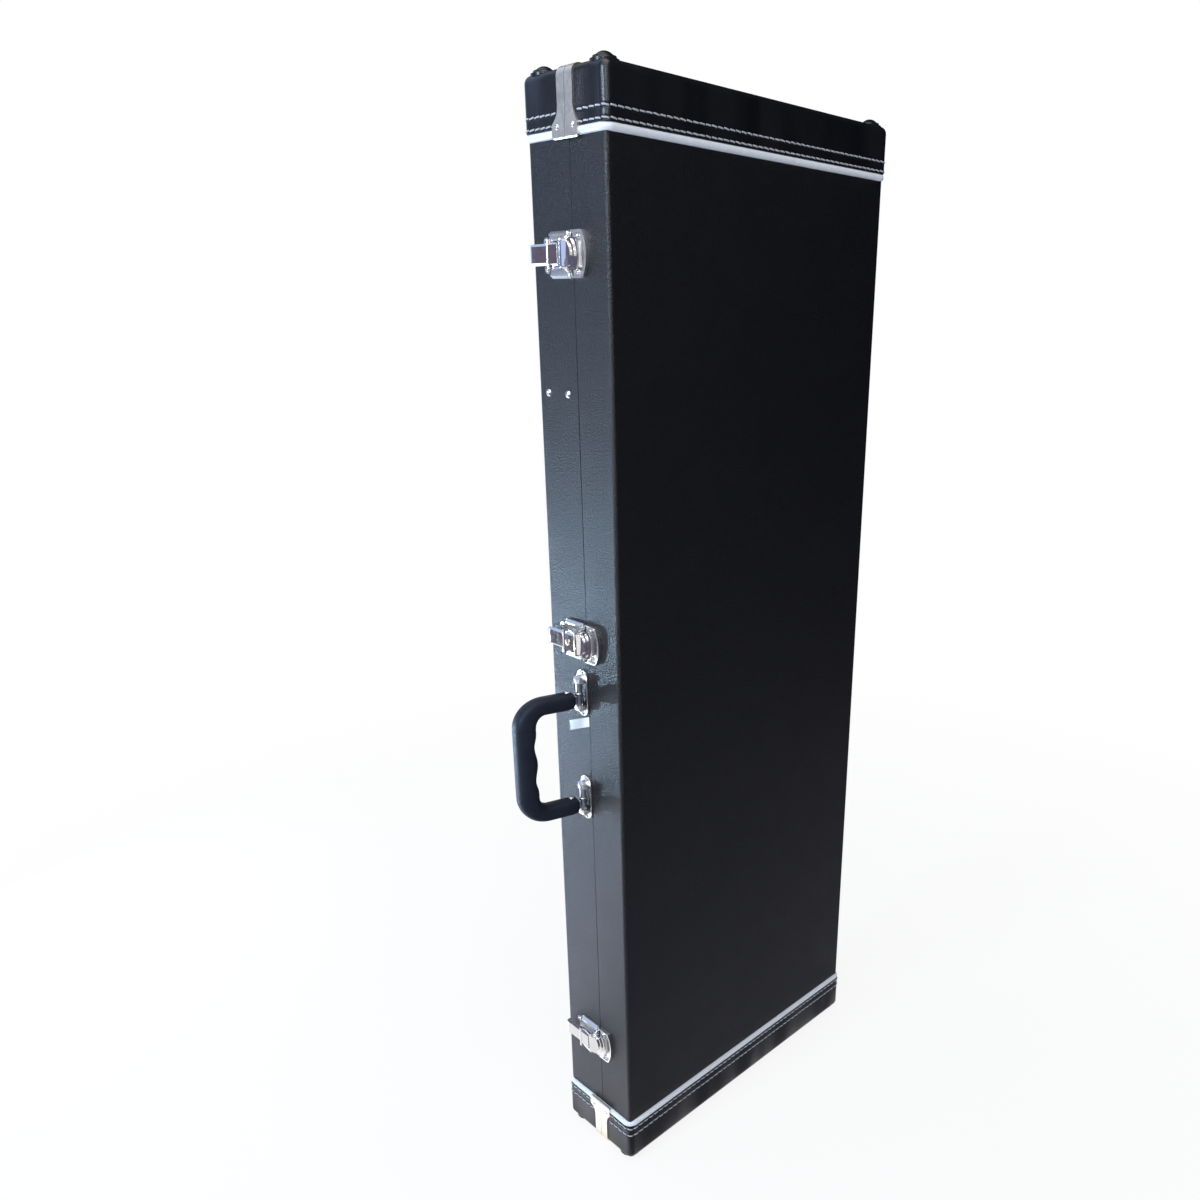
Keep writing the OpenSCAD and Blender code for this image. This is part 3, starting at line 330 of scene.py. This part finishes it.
def paper_look():
    look = Look("sticker_paper")
    fibre = look.noise(600, 4, 0.6)
    colour = look.mix(look.noise(120, 4), (0.93, 0.97, 0.97), (0.84, 0.88, 0.89))
    look.bump(fibre, 0.00005)
    return look.done(colour, look.ramp(fibre, (0.3, 0.45), (0.7, 0.6)), Specular_IOR_Level=0.3)


def webbing_look():
    look = Look("tab_webbing")
    weave = look.add("TexWave", wave_type="BANDS", bands_direction="DIAGONAL")
    look.feed(weave.inputs["Vector"], look.coords)
    weave.inputs["Scale"].default_value = 380
    weave.inputs["Distortion"].default_value = 1.5
    colour = look.mix(weave.outputs["Fac"], (0.008, 0.008, 0.010), (0.030, 0.031, 0.036))
    look.bump(weave.outputs["Fac"], 0.0003)
    return look.done(colour, look.ramp(weave.outputs["Fac"], (0.2, 0.6), (0.8, 0.8)),
                     Specular_IOR_Level=0.25, Sheen_Weight=0.15)


looks = {
    "covering": leathercloth("covering_vinyl", (0.0036, 0.0040, 0.0056), (0.0068, 0.0076, 0.0104),
                             820, 0.00042, 0.40, 0.55),
    "cap": leathercloth("cap_leathercloth", (0.0034, 0.0038, 0.0056), (0.0070, 0.0078, 0.0112),
                        1000, 0.00008, 0.32, 0.50, rows=True),
    "piping": piping_look(),
    "clip": metal("clip_steel", (0.93, 0.85, 0.72), (0.80, 0.72, 0.60), 0.30, brushed=0.00002,
                  wave=0.0001),
    "chrome": metal("chrome", (0.84, 0.83, 0.84), (0.74, 0.71, 0.70), 0.06, wave=0.00012),
    "hinge": metal("hinge_plate", (0.80, 0.80, 0.82), (0.66, 0.65, 0.65), 0.16, wave=0.0002),
    "foot": rubber_look(),
    "grip": grip_look(),
    "lip": lip_look(),
    "plywood": plywood_look(),
    "plush": plush_look(),
    "plush_board": plush_look("plush_board", (1.1, 1.1, 1.15)),
    "lock": metal("lock_nickel", (0.88, 0.80, 0.66), (0.70, 0.62, 0.50), 0.14),
    "tab": webbing_look(),
}
thread = thread_look()
# The pressed plates under the polished levers are duller
pressed = metal("pressed_plate", (0.94, 0.93, 0.90), (0.85, 0.83, 0.79), 0.27, wave=0.0002)
pressed_nodes = ("latch_bases", "latch_keepers", "handle_brackets")
paper = paper_look()


def wear(obj, look):
    obj.data.materials.clear()
    obj.data.materials.append(look)


# CAD nodes that are shown: their slot's material and softened edges, whose widths are in mm

EDGE_WIDTHS = {
    "covering": 0.22, "cap": 0.35, "piping": 0.2, "clip": 0.3, "chrome": 0.28, "hinge": 0.25,
    "lip": 0.4, "plywood": 0.3, "plush_board": 0.8, "lock": 0.15, "tab": 0.2,
}


def soften(obj, width):
    weld = obj.modifiers.new("Weld", "WELD")
    weld.merge_threshold = 0.00001
    bevel = obj.modifiers.new("Bevel", "BEVEL")
    bevel.width = width * MM
    bevel.segments = 2
    bevel.limit_method = "ANGLE"
    bevel.angle_limit = math.radians(32)
    bevel.use_clamp_overlap = True
    normals = obj.modifiers.new("WeightedNormal", "WEIGHTED_NORMAL")
    normals.weight = 80
    normals.keep_sharp = False


def dress_nodes():
    for part in frame["record"]["subparts"]:
        obj = nodes[part["node"]]
        slot = part["material_slot"]
        if part["node"] == "lid_panel":
            # Its lining reaches under the pad, out to the side boards
            slot = "plush"
        wear(obj, pressed if part["node"] in pressed_nodes else looks[slot])
        if slot in EDGE_WIDTHS:
            soften(obj, EDGE_WIDTHS[slot])


dress_nodes()


# Helpers for the scene's own pieces


def place(name, data):
    obj = bpy.data.objects.new(name, data)
    bpy.context.scene.collection.objects.link(obj)
    return obj


def add_object(name, mesh, look, body):
    obj = place(name, mesh)
    wear(obj, look)
    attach(obj, body)
    return obj


def shade_smooth(mesh):
    for face in mesh.polygons:
        face.use_smooth = True


def mesh_from(name, points, faces):
    mesh = bpy.data.meshes.new(name)
    mesh.from_pydata([tuple(p) for p in points], [], faces)
    mesh.update()
    shade_smooth(mesh)
    return mesh


def fix_normals(mesh):
    work = bmesh.new()
    work.from_mesh(mesh)
    bmesh.ops.recalc_face_normals(work, faces=work.faces)
    work.to_mesh(mesh)
    work.free()


# The moulded grip: one sweep of a rounded-square section, finer than its CAD solid

# It turns and leans about the bars of its brackets, in degrees
swing_x = -0.1853
bar_y = 0.003
handle_lean = 15
# Two arms, an outer bar between them, and the bends
arm_r = 0.00825
grip_low_z = 0.4180
grip_high_z = 0.5270
grip_out_x = -0.2510
bar_half = 0.01025
across_half = 0.0105
turn_r = 0.01975
bar_mid_x = grip_out_x + bar_half
bar_len = grip_high_z - grip_low_z - 2 * turn_r
# An arm's end narrows, which keeps it clear of its bracket over the whole swing
nose_x = -0.1907
nose_len = 0.0021
neck_len = 0.006
nose_share, neck_share = 0.60, 0.91
# Finger waves inside, a groove where the bar meets each bend, and the mould's parting line
wave_depth = 0.0026
wave_pitch = 0.035
groove_depth = 0.0004
groove_inset = 0.0006
groove_half = 0.0009
parting_height = 0.00022
ARM_STEPS, BEND_STEPS, BAR_STEPS, GRIP_SIDES = 14, 22, 96, 64


def smooth(t):
    t = min(1, max(0, t))
    return t * t * (3 - 2 * t)


def arm_stations():
    """An arm's rows from its end outwards: x and radius."""
    rows = []
    for i in range(ARM_STEPS + 1):
        reach = (nose_x - bar_mid_x - turn_r) * (i / ARM_STEPS) ** 1.6
        nose = min(1, reach / nose_len)
        neck = min(1, max(0, reach - nose_len) / neck_len)
        share = nose_share + (neck_share - nose_share) * nose + (1 - neck_share) * neck
        rows.append((nose_x - reach, share * arm_r))
    return rows


def bend_station(t, side):
    """A row of the upper (side 1) or lower (side -1) bend, t from its arm to the bar."""
    a = (90 + 90 * t) * side
    half = arm_r + (bar_half - arm_r) * smooth(t)
    across = arm_r + (across_half - arm_r) * smooth(t)
    centre_z = grip_high_z - turn_r if side > 0 else grip_low_z + turn_r
    return (bar_mid_x + turn_r + turn_r * math.cos(math.radians(a)),
            centre_z + turn_r * math.sin(math.radians(a)), a, half, half, across)


def bar_station(t):
    """A row of the outer bar, t from its upper end to its lower one."""
    d = bar_len * (0.5 - t)
    fade = smooth(4 * min(t, 1 - t))
    dip = fade * wave_depth * (1 - math.cos(2 * math.pi * d / wave_pitch)) / 2
    from_groove = abs(abs(d) - bar_len / 2 + groove_inset)
    groove = groove_depth * max(0.0, 1 - from_groove / groove_half)
    return (bar_mid_x, (grip_high_z + grip_low_z) / 2 + d, 180,
            bar_half - groove, bar_half - dip - groove, across_half - groove)


def grip_stations():
    """Rows of x, z, direction of the outer side, half thickness out, in and across."""
    arm = arm_stations()
    bend = [i / BEND_STEPS for i in range(1, BEND_STEPS)]
    rows = [(x, grip_high_z, 90, r, r, r) for x, r in arm]
    rows += [bend_station(t, 1) for t in bend]
    rows += [bar_station(i / BAR_STEPS) for i in range(BAR_STEPS + 1)]
    rows += [bend_station(t, -1) for t in reversed(bend)]
    rows += [(x, grip_low_z, -90, r, r, r) for x, r in reversed(arm)]
    return rows


def build_grip():
    sides = GRIP_SIDES
    rows = grip_stations()
    points, faces = [], []
    for x, z, a, out_half, in_half, across in rows:
        for j in range(sides):
            angle = 2 * math.pi * j / sides
            c, s = math.cos(angle), math.sin(angle)
            out = math.copysign(abs(c) ** 0.7, c)
            side = math.copysign(abs(s) ** 0.7, s)
            r = out * (out_half if out > 0 else in_half)
            # The parting line runs along the outer and inner side of the bends and the bar
            if abs(s) < 0.06 and out_half > arm_r:
                r += math.copysign(parting_height, out)
            points.append((x + r * math.cos(math.radians(a)), bar_y + across * side,
                           z + r * math.sin(math.radians(a))))
    count = len(rows)
    for i in range(count - 1):
        for j in range(sides):
            k = (j + 1) % sides
            faces.append((i * sides + j, (i + 1) * sides + j, (i + 1) * sides + k, i * sides + k))
    faces.append(tuple(range(sides)))
    faces.append(tuple(reversed(range((count - 1) * sides, count * sides))))
    # The handle leans towards the back, about the bars of its brackets
    axis = Vector((swing_x, bar_y, 0))
    lean = Matrix.Translation(axis) @ Matrix.Rotation(math.radians(-handle_lean), 4, "Z") @ \
        Matrix.Translation(-axis)
    points = [lean @ Vector(p) for p in points]
    mesh = mesh_from("grip_sweep", points, faces)
    grip = add_object("grip_sweep", mesh, looks["grip"], "handle")
    bevel = grip.modifiers.new("Bevel", "BEVEL")
    bevel.width = 0.0012
    bevel.segments = 3
    bevel.limit_method = "ANGLE"
    bevel.angle_limit = math.radians(55)
    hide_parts("handle_grip")


build_grip()


# Two rows of stitches round each cap

seam_gap = 0.0002
stitch_clear = 0.0128
stitch_pitch = 0.0072
stitch_gap = 0.0003
stitch_lean = 0.00035
hole_depth = 0.0007
stitch_rise = 0.00105
thread_r = 0.00070
STITCH_STEPS, THREAD_SIDES = 8, 8


def cap_point(half, distance):
    """A point on the cap's outline and its outward direction. Distance runs from the seam on the
    latch side, round the front or back, to the seam on the hinge side."""
    straight = abs(half * cap_y - seam_y) - cap_corner - seam_gap
    turn = math.pi / 2 * cap_corner
    across = 2 * (cap_x - cap_corner)
    centre_x = cap_x - cap_corner
    centre_y = half * (cap_y - cap_corner)
    if distance < straight:
        return Vector((-cap_x, seam_y + half * (seam_gap + distance), 0)), Vector((-1, 0, 0))
    distance -= straight
    if distance < turn:
        a = distance / cap_corner
        out = Vector((-math.cos(a), half * math.sin(a), 0))
        return Vector((-centre_x, centre_y, 0)) + out * cap_corner, out
    distance -= turn
    if distance < across:
        return Vector((-centre_x + distance, half * cap_y, 0)), Vector((0, half, 0))
    distance -= across
    if distance < turn:
        a = distance / cap_corner
        out = Vector((math.sin(a), half * math.cos(a), 0))
        return Vector((centre_x, centre_y, 0)) + out * cap_corner, out
    distance -= turn
    return Vector((cap_x, centre_y - half * distance, 0)), Vector((1, 0, 0))


def cap_outline_length(half):
    straight = abs(half * cap_y - seam_y) - cap_corner - seam_gap
    return 2 * straight + math.pi * cap_corner + 2 * (cap_x - cap_corner)


def stitch_row(half, height, points, faces, generator):
    length = cap_outline_length(half) - 2 * stitch_clear
    count = int(length / stitch_pitch)
    pitch = length / count
    ring, steps = THREAD_SIDES, STITCH_STEPS
    up = Vector((0, 0, 1))
    for i in range(count):
        start = stitch_clear + i * pitch
        end = stitch_clear + (i + 1) * pitch - stitch_gap
        tilt = -stitch_lean + generator.uniform(-0.0002, 0.0002)
        lift = generator.uniform(0.85, 1.1)
        base = len(points)
        for k in range(steps + 1):
            t = k / steps
            centre, out = cap_point(half, start + (end - start) * t)
            # Both ends dive into their needle holes
            rise = math.sin(math.pi * t) ** 0.45 if 0 < t < 1 else 0
            height_out = -hole_depth + stitch_rise * rise * lift
            middle = centre + out * height_out + up * (height + tilt * (2 * t - 1))
            for j in range(ring):
                a = 2 * math.pi * j / ring
                points.append(middle + out * (thread_r * 0.8 * math.cos(a))
                              + up * (thread_r * math.sin(a)))
        for k in range(steps):
            for j in range(ring):
                n = (j + 1) % ring
                a, b = base + k * ring, base + (k + 1) * ring
                faces.append((a + j, b + j, b + n, a + n))
        faces.append(tuple(base + j for j in range(ring)))
        faces.append(tuple(base + steps * ring + j for j in reversed(range(ring))))


def build_stitches():
    generator = random.Random(7)
    for body, half, name in (("case_back", 1, "body"), ("lid", -1, "lid")):
        for top in (True, False):
            points, faces = [], []
            for height in stitch_heights(top):
                stitch_row(half, height, points, faces, generator)
            label = f"{name}_{'top' if top else 'bottom'}_stitches"
            mesh = mesh_from(label, points, faces)
            fix_normals(mesh)
            add_object(label, mesh, thread, body)


build_stitches()


# A bare paper sticker under the upper bracket, up to the seam


def build_sticker():
    corners = [Vector((0, -0.0046, 0.5091)), Vector((0, 0.0262, 0.4970)),
               Vector((0, 0.0240, 0.4876)), Vector((0, -0.0046, 0.4992))]
    across, down = 26, 12
    points, faces = [], []
    for layer in (0, 1):
        for i in range(across + 1):
            for j in range(down + 1):
                u, v = i / across, j / down
                p = (corners[0] * (1 - u) + corners[1] * u) * (1 - v) + \
                    (corners[3] * (1 - u) + corners[2] * u) * v
                edge = min(u, 1 - u, v, 1 - v)
                # One corner has lifted, and the sheet follows the grain under it
                lifted = 0.0011 * max(0.0, (u + v) / 2 - 0.82) / 0.18 if u > 0.6 else 0.0
                ripple = 0.00005 * noise.noise(p * 350)
                p.x = -side_x - 0.00006 - layer * 0.00016 - lifted - ripple * (edge > 0)
                points.append(p)
    size = (across + 1) * (down + 1)

    def at(layer, i, j):
        return layer * size + i * (down + 1) + j

    for i in range(across):
        for j in range(down):
            faces.append((at(1, i, j), at(1, i + 1, j), at(1, i + 1, j + 1), at(1, i, j + 1)))
            faces.append((at(0, i, j), at(0, i, j + 1), at(0, i + 1, j + 1), at(0, i + 1, j)))
    rim = [(i, 0) for i in range(across)] + [(across, j) for j in range(down)] + \
        [(i, down) for i in range(across, 0, -1)] + [(0, j) for j in range(down, 0, -1)]
    for a, b in zip(rim, rim[1:] + rim[:1]):
        faces.append((at(0, *a), at(0, *b), at(1, *b), at(1, *a)))
    mesh = mesh_from("bare_sticker", points, faces)
    fix_normals(mesh)
    add_object("bare_sticker", mesh, paper, "case_back")


build_sticker()


# Plush over foam and boards inside the case

CLOTH_FRAMES = 20


def bake(obj):
    """Applies the object's modifiers to its mesh."""
    graph = bpy.context.evaluated_depsgraph_get()
    mesh = bpy.data.meshes.new_from_object(obj.evaluated_get(graph))
    old = obj.data
    name = old.name
    obj.modifiers.clear()
    obj.data = mesh
    bpy.data.meshes.remove(old)
    mesh.name = name


def solid_of(node, name):
    """A CAD solid's mesh under a new name, and a welded working copy of it."""
    mesh = nodes[node].data.copy()
    mesh.name = name
    work = bmesh.new()
    work.from_mesh(mesh)
    bmesh.ops.remove_doubles(work, verts=work.verts, dist=0.00001)
    return mesh, work


def stand_for(pad, node, body):
    """Shows the soft piece in its CAD node's place."""
    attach(pad, body)
    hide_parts(node)


def swell_under_pressure(pad):
    cloth = pad.modifiers.new("Cloth", "CLOTH")
    cloth.settings.use_pressure = True
    cloth.settings.uniform_pressure_force = 4
    cloth.settings.effector_weights.gravity = 0
    cloth.settings.quality = 4
    cloth.point_cache.frame_start = 1
    cloth.point_cache.frame_end = CLOTH_FRAMES
    for step in range(1, CLOTH_FRAMES + 1):
        bpy.context.scene.frame_set(step)
    bake(pad)
    bpy.context.scene.frame_set(1)


def plush_from(node, name, body, inset, voxel, swell, rounds=4):
    """A pad in the space of a CAD solid, with rounded edges and a soft face."""
    mesh, work = solid_of(node, name)
    bmesh.ops.recalc_face_normals(work, faces=work.faces)
    work.to_mesh(mesh)
    work.free()
    pad = place(name, mesh)
    wear(pad, looks["plush"])
    shrink = pad.modifiers.new("Shrink", "DISPLACE")
    shrink.strength = -inset
    shrink.mid_level = 0
    remesh = pad.modifiers.new("Remesh", "REMESH")
    remesh.mode = "VOXEL"
    remesh.voxel_size = voxel
    remesh.use_smooth_shade = True
    rounding = pad.modifiers.new("Rounding", "SMOOTH")
    rounding.factor = 0.5
    rounding.iterations = rounds
    bake(pad)
    rest = [v.co.copy() for v in pad.data.vertices]
    swell_under_pressure(pad)
    for vertex, home in zip(pad.data.vertices, rest):
        move = vertex.co - home
        if move.length > swell:
            vertex.co = home + move.normalized() * swell
        # Hand-cut foam is never quite even
        vertex.co += Vector((0, 1, 0)) * 0.0005 * noise.noise(home * 22)
    finer = pad.modifiers.new("Subdivision", "SUBSURF")
    finer.levels = 1
    finer.render_levels = 1
    shade_smooth(pad.data)
    stand_for(pad, node, body)


def lining_from(node, name, body, cell=0.012, depth=0.0004):
    """Thin plush glued to a board: the CAD solid's faces in small cells, slightly uneven."""
    mesh, work = solid_of(node, name)
    bmesh.ops.dissolve_limit(work, angle_limit=math.radians(1), verts=work.verts, edges=work.edges)
    for axis in range(3):
        low = min(v.co[axis] for v in work.verts)
        high = max(v.co[axis] for v in work.verts)
        cuts = int((high - low) / cell)
        for i in range(1, cuts):
            origin, normal = Vector(), Vector()
            origin[axis] = low + (high - low) * i / cuts
            normal[axis] = 1
            geometry = work.verts[:] + work.edges[:] + work.faces[:]
            bmesh.ops.bisect_plane(work, geom=geometry, dist=0.000001, plane_co=origin,
                                   plane_no=normal)
    bmesh.ops.recalc_face_normals(work, faces=work.faces)
    work.normal_update()
    for vertex in work.verts:
        vertex.co -= vertex.normal * depth * (0.5 + 0.5 * noise.noise(vertex.co * 60))
    work.to_mesh(mesh)
    work.free()
    shade_smooth(mesh)
    lining = place(name, mesh)
    wear(lining, looks["plush"])
    soften(lining, 0.5)
    stand_for(lining, node, body)


lining_from("floor_pad", "plush_floor", "case_back")
plush_from("lower_padding", "plush_lower", "case_back", 0.0010, 0.006, 0.002)
plush_from("upper_padding", "plush_upper", "case_back", 0.0010, 0.006, 0.002)
plush_from("neck_cradle", "plush_cradle", "case_back", 0.0010, 0.004, 0.002)
plush_from("lid_pad", "plush_lid", "lid", 0.0002, 0.005, 0.002, rounds=2)
lining_from("lid_side_lining", "plush_lining", "lid", depth=0.0003)


# Floor, light and camera

floor_reach = 6.0
fade_reach = 2.4


def build_floor():
    points, faces = [], []
    rings, spokes = 14, 48
    for i in range(1, rings + 1):
        r = floor_reach * (i / rings) ** 1.8
        for j in range(spokes):
            a = 2 * math.pi * j / spokes
            points.append((r * math.cos(a), r * math.sin(a), 0))
    points.append((0, 0, 0))
    for j in range(spokes):
        faces.append((len(points) - 1, j, (j + 1) % spokes))
    for i in range(rings - 1):
        for j in range(spokes):
            a, b = i * spokes, (i + 1) * spokes
            k = (j + 1) % spokes
            faces.append((a + j, b + j, b + k, a + k))
    floor = place("floor", mesh_from("floor", points, faces))
    look = Look("floor_paper")
    far = look.add("VectorMath", operation="LENGTH")
    look.feed(far.inputs[0], look.coords)
    fade = look.ramp(look.math("DIVIDE", far.outputs["Value"], fade_reach, clamp=True),
                     (0.15, 0.88), (0.6, 1.0))
    tone = look.mix(look.noise(3, 2), (0.80, 0.80, 0.81), (0.84, 0.84, 0.84))
    look.done(tone, look.ramp(look.noise(5, 2), (0.0, 0.85), (1.0, 0.95)), Specular_IOR_Level=0.2)
    # The paper is lit where the shadow falls and fades to plain white further out
    glow = look.add("Emission")
    glow.inputs["Strength"].default_value = 1.0
    blend = look.add("MixShader")
    look.feed(blend.inputs["Fac"], look.math("MULTIPLY", look.seen(), fade))
    look.feed(blend.inputs[1], look.shader.outputs[0])
    look.feed(blend.inputs[2], glow.outputs[0])
    look.emit(blend.outputs[0])
    wear(floor, look.material)


build_floor()


def build_world():
    world = bpy.data.worlds.new("studio")
    bpy.context.scene.world = world
    world.use_nodes = True
    graph = Graph(world.node_tree)
    room = graph.tree.nodes["Background"]
    room.inputs["Color"].default_value = (0.93, 0.96, 1.0, 1)
    room.inputs["Strength"].default_value = 0.45
    white = graph.add("Background")
    white.inputs["Color"].default_value = (1, 1, 1, 1)
    white.inputs["Strength"].default_value = 1.0
    blend = graph.add("MixShader")
    graph.feed(blend.inputs["Fac"], graph.seen())
    graph.feed(blend.inputs[1], room.outputs[0])
    graph.feed(blend.inputs[2], white.outputs[0])
    graph.feed(graph.tree.nodes["World Output"].inputs["Surface"], blend.outputs[0])


build_world()


def softbox(name, position, target, width, height, power, colour):
    light = bpy.data.lights.new(name, "AREA")
    light.shape = "RECTANGLE"
    light.size = width
    light.size_y = height
    light.energy = power
    light.color = colour
    obj = place(name, light)
    obj.location = position
    obj.rotation_euler = (Vector(target) - Vector(position)).to_track_quat("-Z", "Y").to_euler()
    obj.visible_camera = False


def card(name, corners, colour):
    """A studio card that only reflections see."""
    points, faces = [], []
    count = 6
    for i in range(count + 1):
        for j in range(count + 1):
            u, v = i / count, j / count
            a = Vector(corners[0]).lerp(Vector(corners[1]), u)
            b = Vector(corners[3]).lerp(Vector(corners[2]), u)
            points.append(a.lerp(b, v))
    for i in range(count):
        for j in range(count):
            k = i * (count + 1) + j
            faces.append((k, k + count + 1, k + count + 2, k + 1))
    obj = place(name, mesh_from(name, points, faces))
    look = Look(name)
    glow = look.add("Emission")
    shade = look.ramp(look.noise(2.5, 2), (0.3, 0.8), (0.7, 1.0))
    look.feed(glow.inputs["Color"], look.mix(1.0, colour, shade, "MULTIPLY"))
    glow.inputs["Strength"].default_value = 1.0
    look.emit(glow.outputs[0])
    wear(obj, look.material)
    obj.visible_camera = False
    obj.visible_diffuse = False
    obj.visible_shadow = False
    obj.visible_transmission = False


def upright_card(name, first, second, low, high, colour):
    """A standing card between two angles, round the side with the latches, from 0 at -X to +Y."""
    corners = []
    for (angle, r), z in ((first, low), (second, low), (second, high), (first, high)):
        a = math.radians(angle)
        corners.append((-0.2 - r * math.cos(a), r * math.sin(a), z))
    card(name, corners, colour)


def wall_card(name, x0, y0, x1, y1, colour):
    card(name, [(x0, y0, 0), (x1, y1, 0), (x1, y1, 2.4), (x0, y0, 2.4)], colour)


def level_card(name, x0, x1, y0, y1, colour, z=0.001):
    card(name, [(x0, y0, z), (x1, y0, z), (x1, y1, z), (x0, y1, z)], colour)


# The photograph's room, as the dark covering and the metal mirror it
wall_card("card_front", -0.40, -0.80, 0.95, -0.80, (0.09, 0.09, 0.11))
wall_card("card_right", 0.95, -0.80, 3.6, -0.80, (0.01, 0.01, 0.02))
wall_card("card_far_right", 3.6, -0.80, 3.6, 2.2, (0.01, 0.01, 0.02))
level_card("card_above", 0.05, 3.0, -0.9, 1.6, (0.02, 0.02, 0.03), z=1.9)
level_card("card_floor_near", -0.25, 1.2, -0.35, -0.06, (0.26, 0.26, 0.31))
level_card("card_floor_far", -0.25, 3.6, -0.80, -0.35, (0.13, 0.13, 0.16))
level_card("card_floor_right", 1.2, 3.6, -0.35, 2.2, (0.03, 0.03, 0.04))
level_card("card_floor_left", -1.5, -0.30, -0.90, -0.06, (0.16, 0.18, 0.26))
level_card("card_foot", -0.275, -0.195, -0.05, 0.20, (1.6, 1.65, 1.85))
level_card("card_strip", -0.45, -0.22, 0.20, 0.62, (2.6, 2.9, 3.8))
level_card("card_strip_far", -0.70, -0.24, 0.62, 1.45, (2.4, 2.7, 3.5))
upright_card("card_left", (-88, 1.35), (-8, 1.35), 0.0, 0.80, (0.14, 0.16, 0.24))
upright_card("card_low", (34, 1.4), (60, 1.4), 0.0, 0.42, (0.12, 0.09, 0.11))
upright_card("card_bright", (-10, 1.9), (28, 1.9), 0.62, 3.2, (0.68, 0.84, 1.30))
upright_card("card_back", (28, 2.0), (62, 2.0), 0.42, 3.2, (0.24, 0.29, 0.42))
upright_card("card_dark", (43, 1.9), (57, 1.9), 0.75, 1.35, (0.15, 0.13, 0.18))
upright_card("card_blue", (62, 2.0), (100, 2.0), 0.5, 3.2, (0.56, 0.74, 1.12))
upright_card("card_warm", (102, 1.6), (150, 1.6), 0.0, 0.6, (0.85, 0.58, 0.30))

# Lamps: a small low one behind, a strip beside the latches, and softer ones in front and above
softbox("window", (-0.60, 1.08, 0.17), (-0.18, 0, 0.45), 0.06, 0.06, 8, (0.50, 0.74, 1.0))
softbox("strip", (-1.7, 0.10, 1.25), (-0.18, 0, 0.9), 0.25, 0.75, 20, (0.68, 0.82, 1.0))
softbox("near_side", (-1.5, -1.1, 1.45), (-0.18, -0.05, 0.9), 0.4, 0.4, 6, (0.62, 0.76, 1.0))
softbox("overhead", (-0.6, -0.6, 2.6), (0, 0, 0.6), 1.8, 1.8, 22, (1.0, 0.98, 0.96))


# The photograph's camera, fitted to the case's edges in a frame of 1200 pixels

camera_yaw = 46.72
camera_pitch = -18.83
camera_roll = 0.8
camera_position = (-0.7156, -0.6885, 0.8637)
frame_px = 1200
focal_px = 979.6
centre_px = (728.2, 657.3)
sensor_width = 36


def build_camera():
    yaw, pitch, roll = (math.radians(a) for a in (camera_yaw, camera_pitch, camera_roll))
    ahead = Vector((math.sin(yaw) * math.cos(pitch), math.cos(yaw) * math.cos(pitch),
                    math.sin(pitch)))
    level = Vector((math.cos(yaw), -math.sin(yaw), 0))
    upright = level.cross(ahead)
    right = level * math.cos(roll) + upright * math.sin(roll)
    up = upright * math.cos(roll) - level * math.sin(roll)
    data = bpy.data.cameras.new("camera")
    data.sensor_width = sensor_width
    data.lens = focal_px / frame_px * sensor_width
    data.shift_x = -(centre_px[0] - frame_px / 2) / frame_px
    data.shift_y = (centre_px[1] - frame_px / 2) / frame_px
    data.clip_start = 0.05
    camera = place("camera", data)
    axes = Matrix((right, up, -ahead)).transposed().to_4x4()
    axes.translation = Vector(camera_position)
    camera.matrix_world = axes
    bpy.context.scene.camera = camera


build_camera()
bpy.context.scene.view_settings.view_transform = "Standard"
